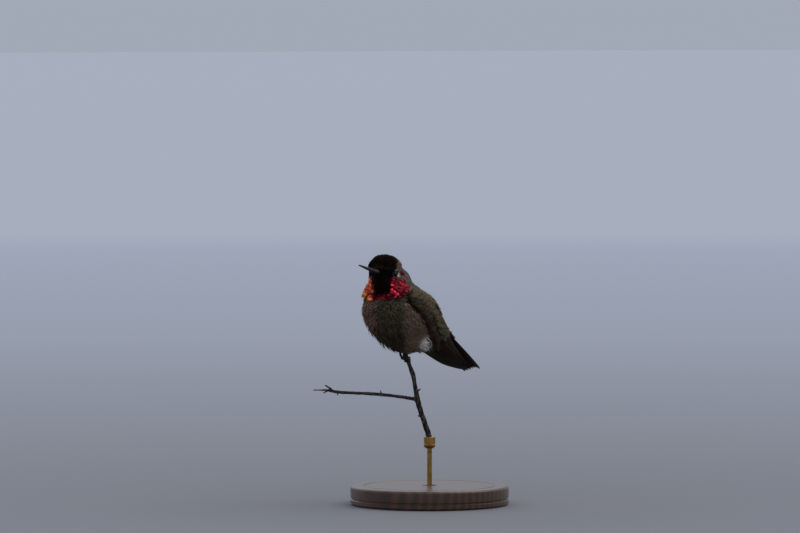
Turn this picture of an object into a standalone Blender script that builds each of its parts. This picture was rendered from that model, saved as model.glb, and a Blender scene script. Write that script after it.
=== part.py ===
"""A male Anna's hummingbird, life size, perched on the top of a thin forked twig, on a plain display stand.

Sizes below are millimetres, and MM turns them to metres when a mesh is made.
The row frame stands on the floor under the middle of the stand's base: +Z is up, the bird's body faces -Y,
and its left side is +X. Places on the bird and the twig are counted from FEET, the middle of the bird's grip.
"""

import math

import bpy
import bmesh
from mathutils import Euler, Matrix, Vector

MM = 0.001
GAP = 0.3  # between solids that meet

# Where the bird grips the twig, and the heading that the fork of the twig lies square to
FEET = Vector((-6.4, -8.0, 62.0))
FORK_HEADING = math.radians(51.0)

# The head: its middle, and how it is turned and raised from the body's heading
HEAD = Vector((0.6, -11.6, 34.2))
HEAD_YAW = math.radians(27.0)
HEAD_PITCH = math.radians(13.5)

# The bill, counted forward from the head's middle; the first part of it is inside the face
BILL_ROOT = 5.4
BILL_FACE = 7.5
BILL_LENGTH = 18.0
BILL_UP = -0.7
BILL_DROP = 0.3
BILL_TIP_RADIUS = 0.27
BILL_SWELL = 0.72
GAPE_GROOVE = 0.14

EYE_RADIUS = 1.6
EYE_PLACE = (4.6, 1.0, 0.2)

# Feathered masses of the body: middle, radii across, along and up, and degrees nose-up
BREAST = Vector((0, -4.5, 18.2))
BODY_MASSES = {
    "breast": (BREAST, (13.8, 14.6, 14.4), 0),
    "belly": ((0, -2.2, 12.8), (11.8, 12.8, 11.1), 14),
    "back": ((0, 3.8, 17.6), (11.0, 13.8, 9.2), 50),
    "rump": ((0, 10.6, 12.6), (8.2, 12.0, 7.4), 46),
    "tail_coverts": ((0, 19.2, 9.8), (5.6, 9.4, 2.9), 43),
    "shoulders": ((0, 7.4, 18.8), (11.4, 9.0, 6.2), 54),
    "lower_neck": ((0, -9.4, 26.0), (9.6, 9.0, 8.6), 30),
    "nape": ((0.2, -5.5, 29.8), (7.4, 7.4, 8.0), 30),
}
# The same, for masses that have a twin on the other side, with degrees of turn outward
TWIN_MASSES = {
    "shoulder_feathers": ((6.6, 8.0, 19.2), (4.8, 8.6, 4.4), 54, -6),
    "thigh_feathers": ((5.2, 4.8, 8.0), (5.2, 6.4, 5.9), 20, 0),
}
# Masses of the head: left, forward and up from its middle, radii, degrees nose-up from the head's own pitch
HEAD_MASSES = {
    "skull": ((0, -1.5, 2.7), (7.2, 7.8, 6.2), 0),
    "cheeks": ((2.6, -0.6, -1.0), (3.4, 5.4, 5.0), 0),
    "face": ((0, 2.6, 0.0), (4.2, 5.0, 4.3), -8),
    "bill_base": ((0, 5.8, -0.6), (2.1, 2.8, 1.8), -2),
    "throat": ((0, 0.4, -4.8), (6.0, 6.2, 6.2), 20),
    "bib_edge": ((4.4, -1.8, -9.0), (5.0, 5.6, 4.8), 10),
}
SKIN_VOXEL = 0.6
SKIN_SMOOTHING = 10
SKIN_KEPT = 0.054  # share of the fused skin's triangles that are kept

# The cuts across the neck, counted along it from the middle of the breast
NECK_LOW = 7.5
NECK_HIGH = 11.5
REACH = 90.0  # farther than any part of the body

# Edges of the folded left wing, from its bend to its tip: left of the middle plane, back, up
WING_LOWER = (
    (11.5, -8.2, 25.2),
    (12.4, -5.2, 21.2),
    (12.0, -1.0, 17.2),
    (10.8, 3.2, 12.4),
    (9.1, 6.0, 7.2),
    (7.2, 10.6, 2.7),
    (5.4, 17.2, -1.3),
    (4.0, 24.6, -3.7),
    (2.8, 31.6, -5.4),
)
WING_UPPER = (
    (10.9, -7.4, 26.6),
    (9.8, -3.6, 27.8),
    (10.2, 1.4, 25.2),
    (10.2, 7.0, 20.2),
    (9.2, 12.2, 14.2),
    (7.8, 16.8, 8.6),
    (6.0, 22.2, 3.2),
    (4.3, 27.4, -1.0),
    (3.0, 32.2, -4.6),
)
WING_BULGE = (0.1, 1.0, 1.3, 1.2, 0.9, 0.6, 0.1)
WING_THICK = (1.6, 2.5, 2.3, 1.8, 1.2, 0.8, 0.6)
THINNEST = 0.5
WING_POCKET = 6.0  # how far outward the wing's room is cleared
# how far the right wing lies inward, back and up from the left one mirrored, from its bend to its tip
RIGHT_SHIFT = (
    (0.0, 0.0, 0.0), (0.0, 0.0, 0.0), (0.0, 0.0, 0.0), (0.3, 0.55, 0.3),
    (0.8, 1.45, 0.2), (1.36, 2.5, -1.6), (2.0, 3.7, -1.8),
)
WING_ROWS = 17
WING_COLUMNS = 7

TAIL_ROOT = Vector((0, 15.2, 13.6))
TAIL_PITCH = math.radians(-42.0)
TAIL_LENGTH = 30.3
TAIL_FEATHERS = 10
TAIL_HALF_ROOT = 3.4
TAIL_HALF_WIDE = 6.4
TAIL_ARCH = 1.2
TAIL_THICK = 0.9
TAIL_ROWS = 8
TAIL_COLUMNS = 21

# The twig, in the plane of its fork: right, up, out of the plane, radius
STEM = (
    (0.3, 1.0, 0.0, 0.80),
    (1.0, -1.6, 0.0, 0.85),
    (2.2, -4.6, 0.2, 0.85),
    (3.1, -7.2, 0.2, 1.08),
    (3.7, -9.6, 0.1, 0.92),
    (4.5, -14.6, 0.0, 0.98),
    (5.2, -18.4, 0.0, 1.22),
    (6.9, -24.1, 0.0, 1.10),
    (8.5, -28.8, 0.0, 1.15),
    (9.9, -33.2, 0.0, 1.22),
    (10.3, -37.0, 0.0, 1.26),
)
BRANCH = (
    (5.0, -18.2, 0.0, 0.9),
    (2.6, -17.7, 0.0, 0.78),
    (-4.8, -16.6, 0.4, 0.70),
    (-12.6, -15.8, 0.8, 0.74),
    (-20.4, -15.4, 0.8, 0.66),
    (-28.2, -15.0, 0.6, 0.66),
    (-31.6, -14.2, 0.4, 0.80),
)
SPURS = {
    "end_twiglet": ((-31.0, -14.0, 0.4, 0.42), (-34.4, -14.2, 0.5, 0.35), (-38.2, -14.1, 0.6, 0.28)),
    "end_bud_upper": ((-30.6, -13.9, 0.4, 0.5), (-32.2, -12.8, 0.2, 0.4), (-33.4, -12.2, 0.1, 0.3)),
    "end_bud_lower": ((-30.6, -13.9, 0.4, 0.5), (-32.6, -14.6, 0.9, 0.4), (-34.0, -15.4, 1.3, 0.3)),
    "branch_bud_lower": ((-27.6, -14.6, 0.6, 0.4), (-28.0, -15.7, 0.6, 0.33), (-28.2, -16.5, 0.6, 0.27)),
    "branch_bud_upper": ((-9.8, -15.7, 0.6, 0.35), (-10.1, -14.9, 0.6, 0.3), (-10.2, -14.2, 0.6, 0.25)),
    "stem_bud_upper": ((4.6, -14.8, 0.0, 0.5), (5.8, -14.3, 0.1, 0.4), (6.5, -13.6, 0.2, 0.3)),
    "stem_bud_lower": ((7.2, -25.0, 0.0, 0.5), (6.2, -25.2, 0.3, 0.4), (5.4, -24.8, 0.5, 0.3)),
}

# Each foot: its heading round the stem in degrees, turning left from straight ahead, and its height
SOLE = {"left": (24.0, -0.4), "right": (-60.0, -0.1)}
SOLE_RADIUS = 0.6
SOLE_REACH = 1.75
TOE_REACH = 1.52  # a toe's middle line from the stem's
TOE_RADII = (0.38, 0.38, 0.38, 0.38, 0.38, 0.38, 0.32, 0.26, 0.12)
FRONT_TOES = ((-0.1, 128), (-0.9, 118), (-1.7, 104))  # how far each drops, and how far round it reaches
HIND_TOE = {"left": (-1.9, -52), "right": (-0.5, -44)}
SHANK_RADII = (0.62, 0.52, 0.48, 0.46, 0.44)
ANKLE_UP = 0.95
ANKLE_REACH = 2.1

STAND = {
    "base_radius": 33.0,
    "base_height": 8.0,
    "base_round": 1.2,
    "base_foot_chamfer": 0.8,
    "rod_radius": 1.0,
    "cup_radius": 2.4,
    "cup_depth": 3.6,
    "cup_slack": 0.45,
    "cup_floor": 1.2,
    "cup_chamfer": 0.8,
}

# Base colour, roughness and metallic of each finish
FINISHES = {
    "mask": ((0.02, 0.016, 0.015), 0.6, 0.0),
    "green": ((0.10, 0.105, 0.055), 0.7, 0.0),
    "belly": ((0.15, 0.13, 0.10), 0.8, 0.0),
    "dusky": ((0.045, 0.035, 0.03), 0.6, 0.0),
    "horn": ((0.012, 0.012, 0.013), 0.35, 0.0),
    "eye": ((0.006, 0.005, 0.005), 0.08, 0.0),
    "foot": ((0.03, 0.027, 0.025), 0.6, 0.0),
    "bark": ((0.16, 0.13, 0.12), 0.9, 0.0),
    "wood": ((0.16, 0.09, 0.05), 0.4, 0.0),
    "brass": ((0.62, 0.45, 0.20), 0.3, 1.0),
}


def clear_scene():
    for obj in list(bpy.data.objects):
        bpy.data.objects.remove(obj, do_unlink=True)


def collection(name):
    made = bpy.data.collections.new(name)
    bpy.context.scene.collection.children.link(made)
    return made


def material(name, finish):
    made = bpy.data.materials.new(name)
    made.use_nodes = True
    shader = made.node_tree.nodes["Principled BSDF"]
    colour, roughness, metallic = FINISHES[finish]
    shader.inputs["Base Color"].default_value = (*colour, 1.0)
    shader.inputs["Roughness"].default_value = roughness
    shader.inputs["Metallic"].default_value = metallic
    return made


def mesh_of(name, shape):
    """A mesh from a bmesh whose points are millimetres from FEET."""
    bmesh.ops.translate(shape, verts=shape.verts, vec=FEET)
    bmesh.ops.scale(shape, verts=shape.verts, vec=(MM, MM, MM))
    bmesh.ops.recalc_face_normals(shape, faces=shape.faces)
    mesh = bpy.data.meshes.new(name)
    shape.to_mesh(mesh)
    shape.free()
    return mesh


def add_piece(name, mesh, into, finish):
    obj = bpy.data.objects.new(name, mesh)
    into.objects.link(obj)
    mesh.materials.clear()
    mesh.materials.append(material(name, finish))
    return obj


def add_helper(name, shape, helpers):
    """A cutter or a guide, which isn't a piece of the model."""
    obj = bpy.data.objects.new(name, mesh_of(name, shape))
    helpers.objects.link(obj)
    obj.hide_render = True
    obj.display_type = "WIRE"
    return obj


def combine(obj, other, operation):
    boolean = obj.modifiers.new(other.name, "BOOLEAN")
    boolean.operation = operation
    boolean.solver = "EXACT"
    boolean.object = other


def evaluated(obj):
    """The object's mesh with its modifiers applied."""
    graph = bpy.context.evaluated_depsgraph_get()
    graph.update()
    return bpy.data.meshes.new_from_object(obj.evaluated_get(graph), depsgraph=graph)


def eased(a, b, c, d, t):
    """The point a share t of the way from b to c on a Catmull-Rom curve through a, b, c and d."""
    return 0.5 * (2 * b + (c - a) * t + (2 * a - 5 * b + 4 * c - d) * t**2 + (3 * b - a - 3 * c + d) * t**3)


def smooth_curve(points, count):
    """count values evenly along a Catmull-Rom curve through the given ones, which are vectors or numbers."""
    padded = [2 * points[0] - points[1], *points, 2 * points[-1] - points[-2]]
    found = []
    for i in range(count):
        along = i / (count - 1) * (len(points) - 1)
        k = min(int(along), len(points) - 2)
        found.append(eased(*padded[k : k + 4], along - k))
    return found


def loft(shape, rings):
    """Adds a closed tube through rings of points, with a flat cap at each end."""
    made = [[shape.verts.new(p) for p in ring] for ring in rings]
    count = len(made[0])
    for lower, upper in zip(made, made[1:]):
        for i in range(count):
            j = (i + 1) % count
            shape.faces.new((lower[i], lower[j], upper[j], upper[i]))
    shape.faces.new(made[0][::-1])
    shape.faces.new(made[-1])


def tube(path, radii, sides):
    """A round tube along a path, with a radius at each of its points."""
    rings = []
    side = (path[1] - path[0]).orthogonal()
    for i, point in enumerate(path):
        ahead = (path[min(i + 1, len(path) - 1)] - path[max(i - 1, 0)]).normalized()
        side = (side - ahead * side.dot(ahead)).normalized()
        other = ahead.cross(side)
        turns = [2 * math.pi * k / sides for k in range(sides)]
        rings.append([point + radii[i] * (side * math.cos(a) + other * math.sin(a)) for a in turns])
    shape = bmesh.new()
    loft(shape, rings)
    return shape


def ball(shape, place, segments):
    bmesh.ops.create_uvsphere(shape, u_segments=segments, v_segments=segments // 2, radius=1.0, matrix=place)


def mass(shape, centre, radii, pitch, yaw=0.0):
    """An ellipsoid, tipped nose-up by pitch degrees and turned left by yaw degrees."""
    turn = Euler((math.radians(-pitch), 0, math.radians(yaw))).to_matrix().to_4x4()
    ball(shape, Matrix.Translation(Vector(centre)) @ turn @ Matrix.Diagonal((*radii, 1.0)), 28)


def head_point(left, ahead, up):
    """A point given from the head's middle, in the head's own directions."""
    turn = Euler((-HEAD_PITCH, 0, HEAD_YAW)).to_matrix()
    return HEAD + turn @ Vector((left, -ahead, up))


def build_body(helpers):
    """The whole feathered body, out to the tips of its coat: rounded masses fused into one skin."""
    shape = bmesh.new()
    for centre, radii, pitch in BODY_MASSES.values():
        mass(shape, centre, radii, pitch)
    for centre, radii, pitch, yaw in TWIN_MASSES.values():
        for side in (-1, 1):
            mass(shape, (centre[0] * side, centre[1], centre[2]), radii, pitch, yaw * side)
    pitch, yaw = math.degrees(HEAD_PITCH), math.degrees(HEAD_YAW)
    for (left, ahead, up), radii, extra in HEAD_MASSES.values():
        for side in (-1, 1) if left else (1,):
            mass(shape, head_point(left * side, ahead, up), radii, pitch + extra, yaw)
    body = add_helper("body_whole", shape, helpers)
    fuse = body.modifiers.new("fuse", "REMESH")
    fuse.mode = "VOXEL"
    fuse.voxel_size = SKIN_VOXEL * MM
    ease = body.modifiers.new("ease", "SMOOTH")
    ease.factor = 0.5
    ease.iterations = SKIN_SMOOTHING
    thin = body.modifiers.new("thin", "DECIMATE")
    thin.ratio = SKIN_KEPT
    return body


def neck_span(name, helpers, low, high):
    """A block square to the neck, from low to high along it."""
    axis = (HEAD - BREAST).normalized()
    turn = Vector((0, 0, 1)).rotation_difference(axis).to_matrix().to_4x4()
    size = Matrix.Diagonal((REACH, REACH, high - low, 1.0))
    shape = bmesh.new()
    middle = Matrix.Translation(BREAST + axis * (low + high) / 2)
    bmesh.ops.create_cube(shape, size=1.0, matrix=middle @ turn @ size)
    return add_helper(name, shape, helpers)


def around(points, i):
    """The direction of a run of points at one of them."""
    return (points[min(i + 1, len(points) - 1)] - points[max(i - 1, 0)]).normalized()


def wing_shape(side, inward=0.0, outward=0.0, longer=0.0):
    """A folded wing; inward, outward and longer grow it into the room it needs."""
    lower = smooth_curve([Vector(p) for p in WING_LOWER], WING_ROWS)
    upper = smooth_curve([Vector(p) for p in WING_UPPER], WING_ROWS)
    bulges = smooth_curve(WING_BULGE, WING_ROWS)
    thicks = smooth_curve(WING_THICK, WING_ROWS)
    shifts = smooth_curve([Vector(p) for p in RIGHT_SHIFT], WING_ROWS)
    middles = [(a + b) / 2 for a, b in zip(lower, upper)]
    rings = []
    for i in range(WING_ROWS):
        ahead = around(middles, i)
        chord = (upper[i] - lower[i]).normalized()
        push = {0: -longer, WING_ROWS - 1: longer}.get(i, 0.0)
        move = shifts[i] if side < 0 else Vector((0, 0, 0))
        a = lower[i] - chord * longer + ahead * push
        b = upper[i] + chord * longer + ahead * push
        out = ahead.cross(chord)
        out = out if out.x > 0 else -out
        outer, inner = [], []
        for k in range(WING_COLUMNS):
            share = k / (WING_COLUMNS - 1)
            dome = math.sin(math.pi * share)
            middle = a.lerp(b, share) + out * bulges[i] * dome
            half = max(THINNEST, thicks[i] * (1 + dome) / 2) / 2
            outer.append(middle + out * (half + outward))
            inner.append(middle - out * (half + inward))
        rings.append([Vector(((p.x - move.x) * side, p.y + move.y, p.z + move.z)) for p in outer + inner[::-1]])
    shape = bmesh.new()
    loft(shape, rings)
    return shape


def build_wing(name, side, into, helpers):
    add_piece(name, mesh_of(name, wing_shape(side)), into, "dusky")
    return add_helper(name + "_room", wing_shape(side, inward=GAP, outward=WING_POCKET, longer=GAP), helpers)


def tail_point(across, along):
    """A point on the tail's fan: across from -1 to 1, along from 0 at the root to 1 at the tips."""
    rounding = 1.0 - 0.01 * (1 - abs(across)) ** 2 - 0.23 * max(abs(across) - 0.5, 0)
    notch = 0.035 * (1 - abs(math.cos(math.pi * TAIL_FEATHERS * (across + 1) / 2)))
    reach = TAIL_LENGTH * along * (rounding - notch * along**8)
    spread = math.sin(min(along * 1.15, 1.0) * math.pi / 2)
    half = TAIL_HALF_ROOT + (TAIL_HALF_WIDE - TAIL_HALF_ROOT) * spread
    local = Vector((half * across, reach, -TAIL_ARCH * across**2 * along))
    return TAIL_ROOT + Euler((TAIL_PITCH, 0, 0)).to_matrix() @ local


def tail_shape(grow=0.0):
    """The fanned tail; grow makes it into the room it needs."""
    turn = Euler((TAIL_PITCH, 0, 0)).to_matrix()
    up, ahead = turn @ Vector((0, 0, 1)), turn @ Vector((0, 1, 0))
    rings = []
    for i in range(TAIL_ROWS):
        along = i / (TAIL_ROWS - 1)
        half = TAIL_THICK / 2 * (1.2 - 0.6 * along) + grow
        push = ahead * {0: -grow, TAIL_ROWS - 1: grow}.get(i, 0.0)
        line = []
        for k in range(TAIL_COLUMNS):
            across = 2 * k / (TAIL_COLUMNS - 1) - 1
            line.append(tail_point(across, along) + push + Vector((grow * across, 0, 0)))
        rings.append([p + up * half for p in line] + [p - up * half for p in reversed(line)])
    shape = bmesh.new()
    loft(shape, rings)
    return shape


def build_tail(into, helpers):
    add_piece("tail", mesh_of("tail", tail_shape()), into, "dusky")
    return add_helper("tail_room", tail_shape(GAP), helpers)


def build_bill(into, helpers):
    """A straight needle bill, closed, with the groove of its gape along each side, rooted in the face."""
    count, sides = 14, 16
    reach = BILL_LENGTH + BILL_FACE - BILL_ROOT
    rings = []
    for i in range(count):
        share = i / (count - 1)
        radius = BILL_SWELL * (1 - share) ** 0.8 + BILL_TIP_RADIUS
        groove = 1 - GAPE_GROOVE * (1 - share)
        ring = []
        for k in range(sides):
            turn = 2 * math.pi * k / sides
            deep = radius * (groove if k in (0, sides // 2) else 1.0)
            up = BILL_UP - BILL_DROP * share**2 + deep * math.sin(turn)
            ring.append(head_point(deep * 1.08 * math.cos(turn), BILL_ROOT + reach * share, up))
        rings.append(ring)
    tip = head_point(0, BILL_ROOT + reach + BILL_TIP_RADIUS, BILL_UP - BILL_DROP)
    rings.append([tip.lerp(p, 0.55) for p in rings[-1]])
    shape = bmesh.new()
    loft(shape, rings)
    add_piece("bill", mesh_of("bill", shape), into, "horn")
    path = [head_point(0, BILL_ROOT + t, BILL_UP) for t in (-GAP, 2.0, 4.0, 8.0)]
    return add_helper("bill_room", tube(path, (1.5, 1.4, 1.35, 1.2), sides), helpers)


def build_eyes(into, helpers):
    rooms = []
    left, ahead, up = EYE_PLACE
    for name, side in (("eye_left", 1), ("eye_right", -1)):
        place = Matrix.Translation(head_point(left * side, ahead, up))
        shape = bmesh.new()
        ball(shape, place @ Matrix.Scale(EYE_RADIUS, 4), 14)
        add_piece(name, mesh_of(name, shape), into, "eye")
        shape = bmesh.new()
        ball(shape, place @ Matrix.Scale(EYE_RADIUS + GAP, 4), 14)
        rooms.append(add_helper(name + "_room", shape, helpers))
    return rooms


def in_fork(right, up, out):
    """A point given in the plane of the twig's fork, and out of it."""
    across = Vector((math.cos(FORK_HEADING), math.sin(FORK_HEADING), 0))
    away = Vector((math.sin(FORK_HEADING), -math.cos(FORK_HEADING), 0))
    return across * right + away * out + Vector((0, 0, up))


def twig_piece(name, helpers, points, count, sides):
    path = smooth_curve([in_fork(*p[:3]) for p in points], count)
    radii = smooth_curve([p[3] for p in points], count)
    return add_helper(name, tube(path, radii, sides), helpers)


def build_twig(into, helpers):
    """The stem with its side branch and buds, as one body."""
    stem = twig_piece("stem", helpers, STEM, 24, 8)
    combine(stem, twig_piece("branch", helpers, BRANCH, 15, 7), "UNION")
    for name, points in SPURS.items():
        combine(stem, twig_piece(name, helpers, points, 4, 5), "UNION")
    add_piece("perch_twig", evaluated(stem), into, "bark")


def round_stem(heading, up, reach):
    """A point beside the stem at a heading in degrees, turning left from straight ahead."""
    stem = smooth_curve([in_fork(*p[:3]) for p in STEM], 120)
    near = min(stem, key=lambda p: abs(p.z - up))
    turn = math.radians(heading)
    return Vector((near.x + reach * math.sin(turn), near.y - reach * math.cos(turn), up))


def build_leg(name, side, into, helpers):
    """The short bare shank that comes out of the thigh feathers and down to the foot."""
    heading, up = SOLE[name]
    ankle = round_stem(heading, up + ANKLE_UP, ANKLE_REACH)
    knee, calf = ankle + Vector((1.3 * side, 0.3, 2.9)), ankle + Vector((0.6 * side, 0.1, 1.3))
    path = smooth_curve([knee, calf, ankle], len(SHANK_RADII))
    add_piece("leg_" + name, mesh_of("leg_" + name, tube(path, SHANK_RADII, 8)), into, "foot")
    path[0] = path[0] + (path[0] - path[1]).normalized() * GAP
    return add_helper(f"leg_{name}_room", tube(path, [r + GAP for r in SHANK_RADII], 10), helpers)


def build_foot(name, side, into, helpers):
    """A foot of four clawed toes closed round the stem; three reach outward and back, and one inward."""
    heading, up = SOLE[name]
    shape = bmesh.new()
    ball(shape, Matrix.Translation(round_stem(heading, up, SOLE_REACH)) @ Matrix.Scale(SOLE_RADIUS, 4), 10)
    foot = add_helper("foot_whole_" + name, shape, helpers)
    for i, (drop, sweep) in enumerate((*FRONT_TOES, HIND_TOE[name])):
        path = []
        for share in (0.0, 0.2, 0.45, 0.7, 0.88, 1.0):
            ease = min(1.0, share * 2.2)
            reach = SOLE_REACH + (TOE_REACH - SOLE_REACH) * ease
            path.append(round_stem(heading + sweep * side * share, up + drop * ease, reach))
        toe = tube(smooth_curve(path, len(TOE_RADII)), TOE_RADII, 6)
        combine(foot, add_helper(f"toe_{name}_{i}", toe, helpers), "UNION")
    add_piece("foot_" + name, evaluated(foot), into, "foot")


def turned(name, profile, steps, into, finish):
    """A solid of revolution about the stand's axis; its profile is (radius, height), from axis to axis."""
    mesh = bpy.data.meshes.new(name)
    edges = [(i, i + 1) for i in range(len(profile) - 1)]
    mesh.from_pydata([(r * MM, 0, z * MM) for r, z in profile], edges, [])
    obj = add_piece(name, mesh, into, finish)
    screw = obj.modifiers.new("turn", "SCREW")
    screw.steps = screw.render_steps = steps
    screw.use_merge_vertices = True
    screw.merge_threshold = 1e-6
    screw.use_smooth_shade = False


def build_stand(into):
    """A turned wooden base, a rod, and the ferrule on it that holds the cut end of the twig."""
    radius, height, curve = STAND["base_radius"], STAND["base_height"], STAND["base_round"]
    foot, rod, cup = STAND["base_foot_chamfer"], STAND["rod_radius"], STAND["cup_radius"]
    bore_floor = FEET.z + STEM[-1][1] - GAP
    bore_top = bore_floor + STAND["cup_depth"]
    bore = STEM[-1][3] + STAND["cup_slack"]
    cup_foot = bore_floor - STAND["cup_floor"]
    shoulder = cup_foot + STAND["cup_chamfer"]
    turns = [math.radians(a) for a in (90, 67.5, 45, 22.5, 0)]
    crown = [(radius - curve + curve * math.cos(a), height - curve + curve * math.sin(a)) for a in turns]
    base = [(0, height), *crown, (radius, foot), (radius - foot, 0), (0, 0)]
    turned("stand_base", base, 48, into, "wood")
    low, high = height + GAP, cup_foot - GAP
    turned("stand_rod", [(0, high), (rod, high), (rod, low), (0, low)], 20, into, "brass")
    outside = [(cup, bore_top), (cup, shoulder), (cup - STAND["cup_chamfer"], cup_foot), (0, cup_foot)]
    inside = [(0, bore_floor), (bore, bore_floor), (bore, bore_top)]
    turned("stand_ferrule", [*inside, *outside], 24, into, "brass")


def build_flesh(body, rooms, into, helpers):
    """Parts the whole body at the neck, and clears the rooms that the other pieces need in it."""
    whole = evaluated(body)
    spans = {
        "trunk": (-REACH, NECK_LOW - GAP / 2, "belly"),
        "neck": (NECK_LOW + GAP / 2, NECK_HIGH - GAP / 2, "green"),
        "head": (NECK_HIGH + GAP / 2, REACH, "mask"),
    }
    for name, (low, high, finish) in spans.items():
        piece = add_piece(name, whole.copy(), into, finish)
        combine(piece, neck_span(name + "_span", helpers, low, high), "INTERSECT")
        for room in rooms[name]:
            combine(piece, room, "DIFFERENCE")


def main():
    clear_scene()
    into = collection("hummingbird")
    helpers = collection("cutters")
    body = build_body(helpers)
    rooms = {"head": [*build_eyes(into, helpers), build_bill(into, helpers)], "neck": [], "trunk": []}
    rooms["trunk"].append(build_tail(into, helpers))
    build_twig(into, helpers)
    for name, side in (("left", 1), ("right", -1)):
        wing_room = build_wing("wing_" + name, side, into, helpers)
        rooms["neck"].append(wing_room)
        rooms["trunk"].append(wing_room)
        rooms["trunk"].append(build_leg(name, side, into, helpers))
        build_foot(name, side, into, helpers)
    build_stand(into)
    build_flesh(body, rooms, into, helpers)


main()
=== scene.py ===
import math
from itertools import product

import bmesh
import bpy
import numpy as np
from mathutils import Euler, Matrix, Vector
from mathutils.bvhtree import BVHTree


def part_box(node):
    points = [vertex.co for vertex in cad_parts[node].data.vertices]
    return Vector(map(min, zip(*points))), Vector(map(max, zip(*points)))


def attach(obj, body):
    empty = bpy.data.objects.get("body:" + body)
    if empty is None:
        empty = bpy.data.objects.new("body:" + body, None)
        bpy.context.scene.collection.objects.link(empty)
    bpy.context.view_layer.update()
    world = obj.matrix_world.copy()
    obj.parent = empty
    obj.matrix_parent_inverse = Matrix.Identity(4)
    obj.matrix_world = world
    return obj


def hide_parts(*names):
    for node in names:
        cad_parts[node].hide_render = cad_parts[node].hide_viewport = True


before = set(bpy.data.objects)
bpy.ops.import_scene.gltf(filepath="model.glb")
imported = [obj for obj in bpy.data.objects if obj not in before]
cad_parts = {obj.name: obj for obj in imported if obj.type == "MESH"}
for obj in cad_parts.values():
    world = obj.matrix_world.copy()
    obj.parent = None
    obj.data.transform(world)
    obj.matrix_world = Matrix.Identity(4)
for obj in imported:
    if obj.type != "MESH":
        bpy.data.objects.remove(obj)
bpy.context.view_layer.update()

mm = 0.001
# in mm: the middle of the bird's grip, which places on the bird are counted from
grip = np.array((-6.4, -8.0, 62.0))


def toLinear(code):
    parts = [int(code[i:i + 2], 16) / 255 for i in (1, 3, 5)]
    return np.array([c / 12.92 if c <= 0.04045 else ((c + 0.055) / 1.055) ** 2.4 for c in parts])


def ramp(value, low, high):
    t = np.clip((np.asarray(value, float) - low) / (high - low), 0, 1)
    return t * t * (3 - 2 * t)


def unit(v):
    return v / np.maximum(np.linalg.norm(v, axis=-1, keepdims=True), 1e-9)


def between(a, b, share):
    share = np.asarray(share)[..., None]
    return a * (1 - share) + b * share


def bell(value, wide):
    return np.exp(-(value / wide)**2)


def curveThrough(points, count):
    # evenly numbered points on a Catmull-Rom curve
    p = np.asarray(points, float)
    p = np.vstack([2 * p[0] - p[1], p, 2 * p[-1] - p[-2]])
    at = np.linspace(0, len(p) - 3 - 1e-9, count)
    k = at.astype(int)
    t = (at - k)[:, None]
    a, b, c, d = p[k], p[k + 1], p[k + 2], p[k + 3]
    return 0.5 * (2 * b + (c - a) * t + (2 * a - 5 * b + 4 * c - d) * t**2 + (3 * b - a - 3 * c + d) * t**3)


def nodePoints(name):
    # a CAD node's points in mm from the grip, with its triangles
    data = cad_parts[name].data
    data.calc_loop_triangles()
    points = np.empty(len(data.vertices) * 3, np.float32)
    data.vertices.foreach_get("co", points)
    tris = np.empty(len(data.loop_triangles) * 3, np.int32)
    data.loop_triangles.foreach_get("vertices", tris)
    return points.reshape(-1, 3) / mm - grip, tris.reshape(-1, 3)


def setPoints(data, points):
    data.vertices.foreach_set("co", ((points + grip) * mm).astype(np.float32).ravel())


def joinShapes(shapes):
    # pairs of points and faces as one, with its faces counted on
    points, faces, first = [], [], 0
    for p, f in shapes:
        points.append(p)
        faces.append(f + first)
        first += len(p)
    return np.vstack(points), np.vstack(faces)


def makePiece(name, points, faces, material, slot=None, replaces=()):
    # points in mm from the grip; faces is an array of triangles or quads, or a list of such arrays
    groups = [np.asarray(f, np.int32) for f in (faces if isinstance(faces, list) else [faces]) if len(f)]
    data = bpy.data.meshes.new(name)
    points = np.asarray(points, float)
    data.vertices.add(len(points))
    setPoints(data, points)
    corners = np.concatenate([g.ravel() for g in groups])
    sizes = np.concatenate([np.full(len(g), g.shape[1]) for g in groups])
    data.loops.add(len(corners))
    data.loops.foreach_set("vertex_index", corners)
    data.polygons.add(len(sizes))
    data.polygons.foreach_set("loop_start", (np.cumsum(sizes) - sizes).astype(np.int32))
    data.update(calc_edges=True)
    data.validate()
    data.shade_smooth()
    piece = bpy.data.objects.new(name, data)
    bpy.context.scene.collection.objects.link(piece)
    if material:
        data.materials.append(material)
    if slot:
        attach(piece, "root")
    if replaces:
        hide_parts(*replaces)
    return piece


def paint(piece, name, values):
    # a colour or a number for each point of the mesh
    values = np.asarray(values, float)
    if values.ndim == 2:
        layer = piece.data.attributes.new(name, "FLOAT_COLOR", "POINT")
        rgba = np.ones((len(values), 4), np.float32)
        rgba[:, :3] = values
        layer.data.foreach_set("color", rgba.ravel())
    else:
        layer = piece.data.attributes.new(name, "FLOAT", "POINT")
        layer.data.foreach_set("value", values.astype(np.float32))


def pointsOf(piece):
    data = piece.data
    points = np.empty(len(data.vertices) * 3, np.float32)
    data.vertices.foreach_get("co", points)
    normals = np.empty(len(data.vertices) * 3, np.float32)
    data.vertex_normals.foreach_get("vector", normals)
    return points.reshape(-1, 3) / mm - grip, normals.reshape(-1, 3).astype(float)


def applyModifiers(piece):
    graph = bpy.context.evaluated_depsgraph_get()
    made = bpy.data.meshes.new_from_object(piece.evaluated_get(graph), depsgraph=graph)
    piece.modifiers.clear()
    piece.data = made


def ballPoints(centre, radii, count=24):
    shape = bmesh.new()
    bmesh.ops.create_uvsphere(shape, u_segments=count, v_segments=count // 2, radius=1.0)
    points = np.array([v.co[:] for v in shape.verts]) * radii + centre
    bmesh.ops.triangulate(shape, faces=shape.faces)
    faces = np.array([[v.index for v in f.verts] for f in shape.faces])
    shape.free()
    return points, faces


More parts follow.
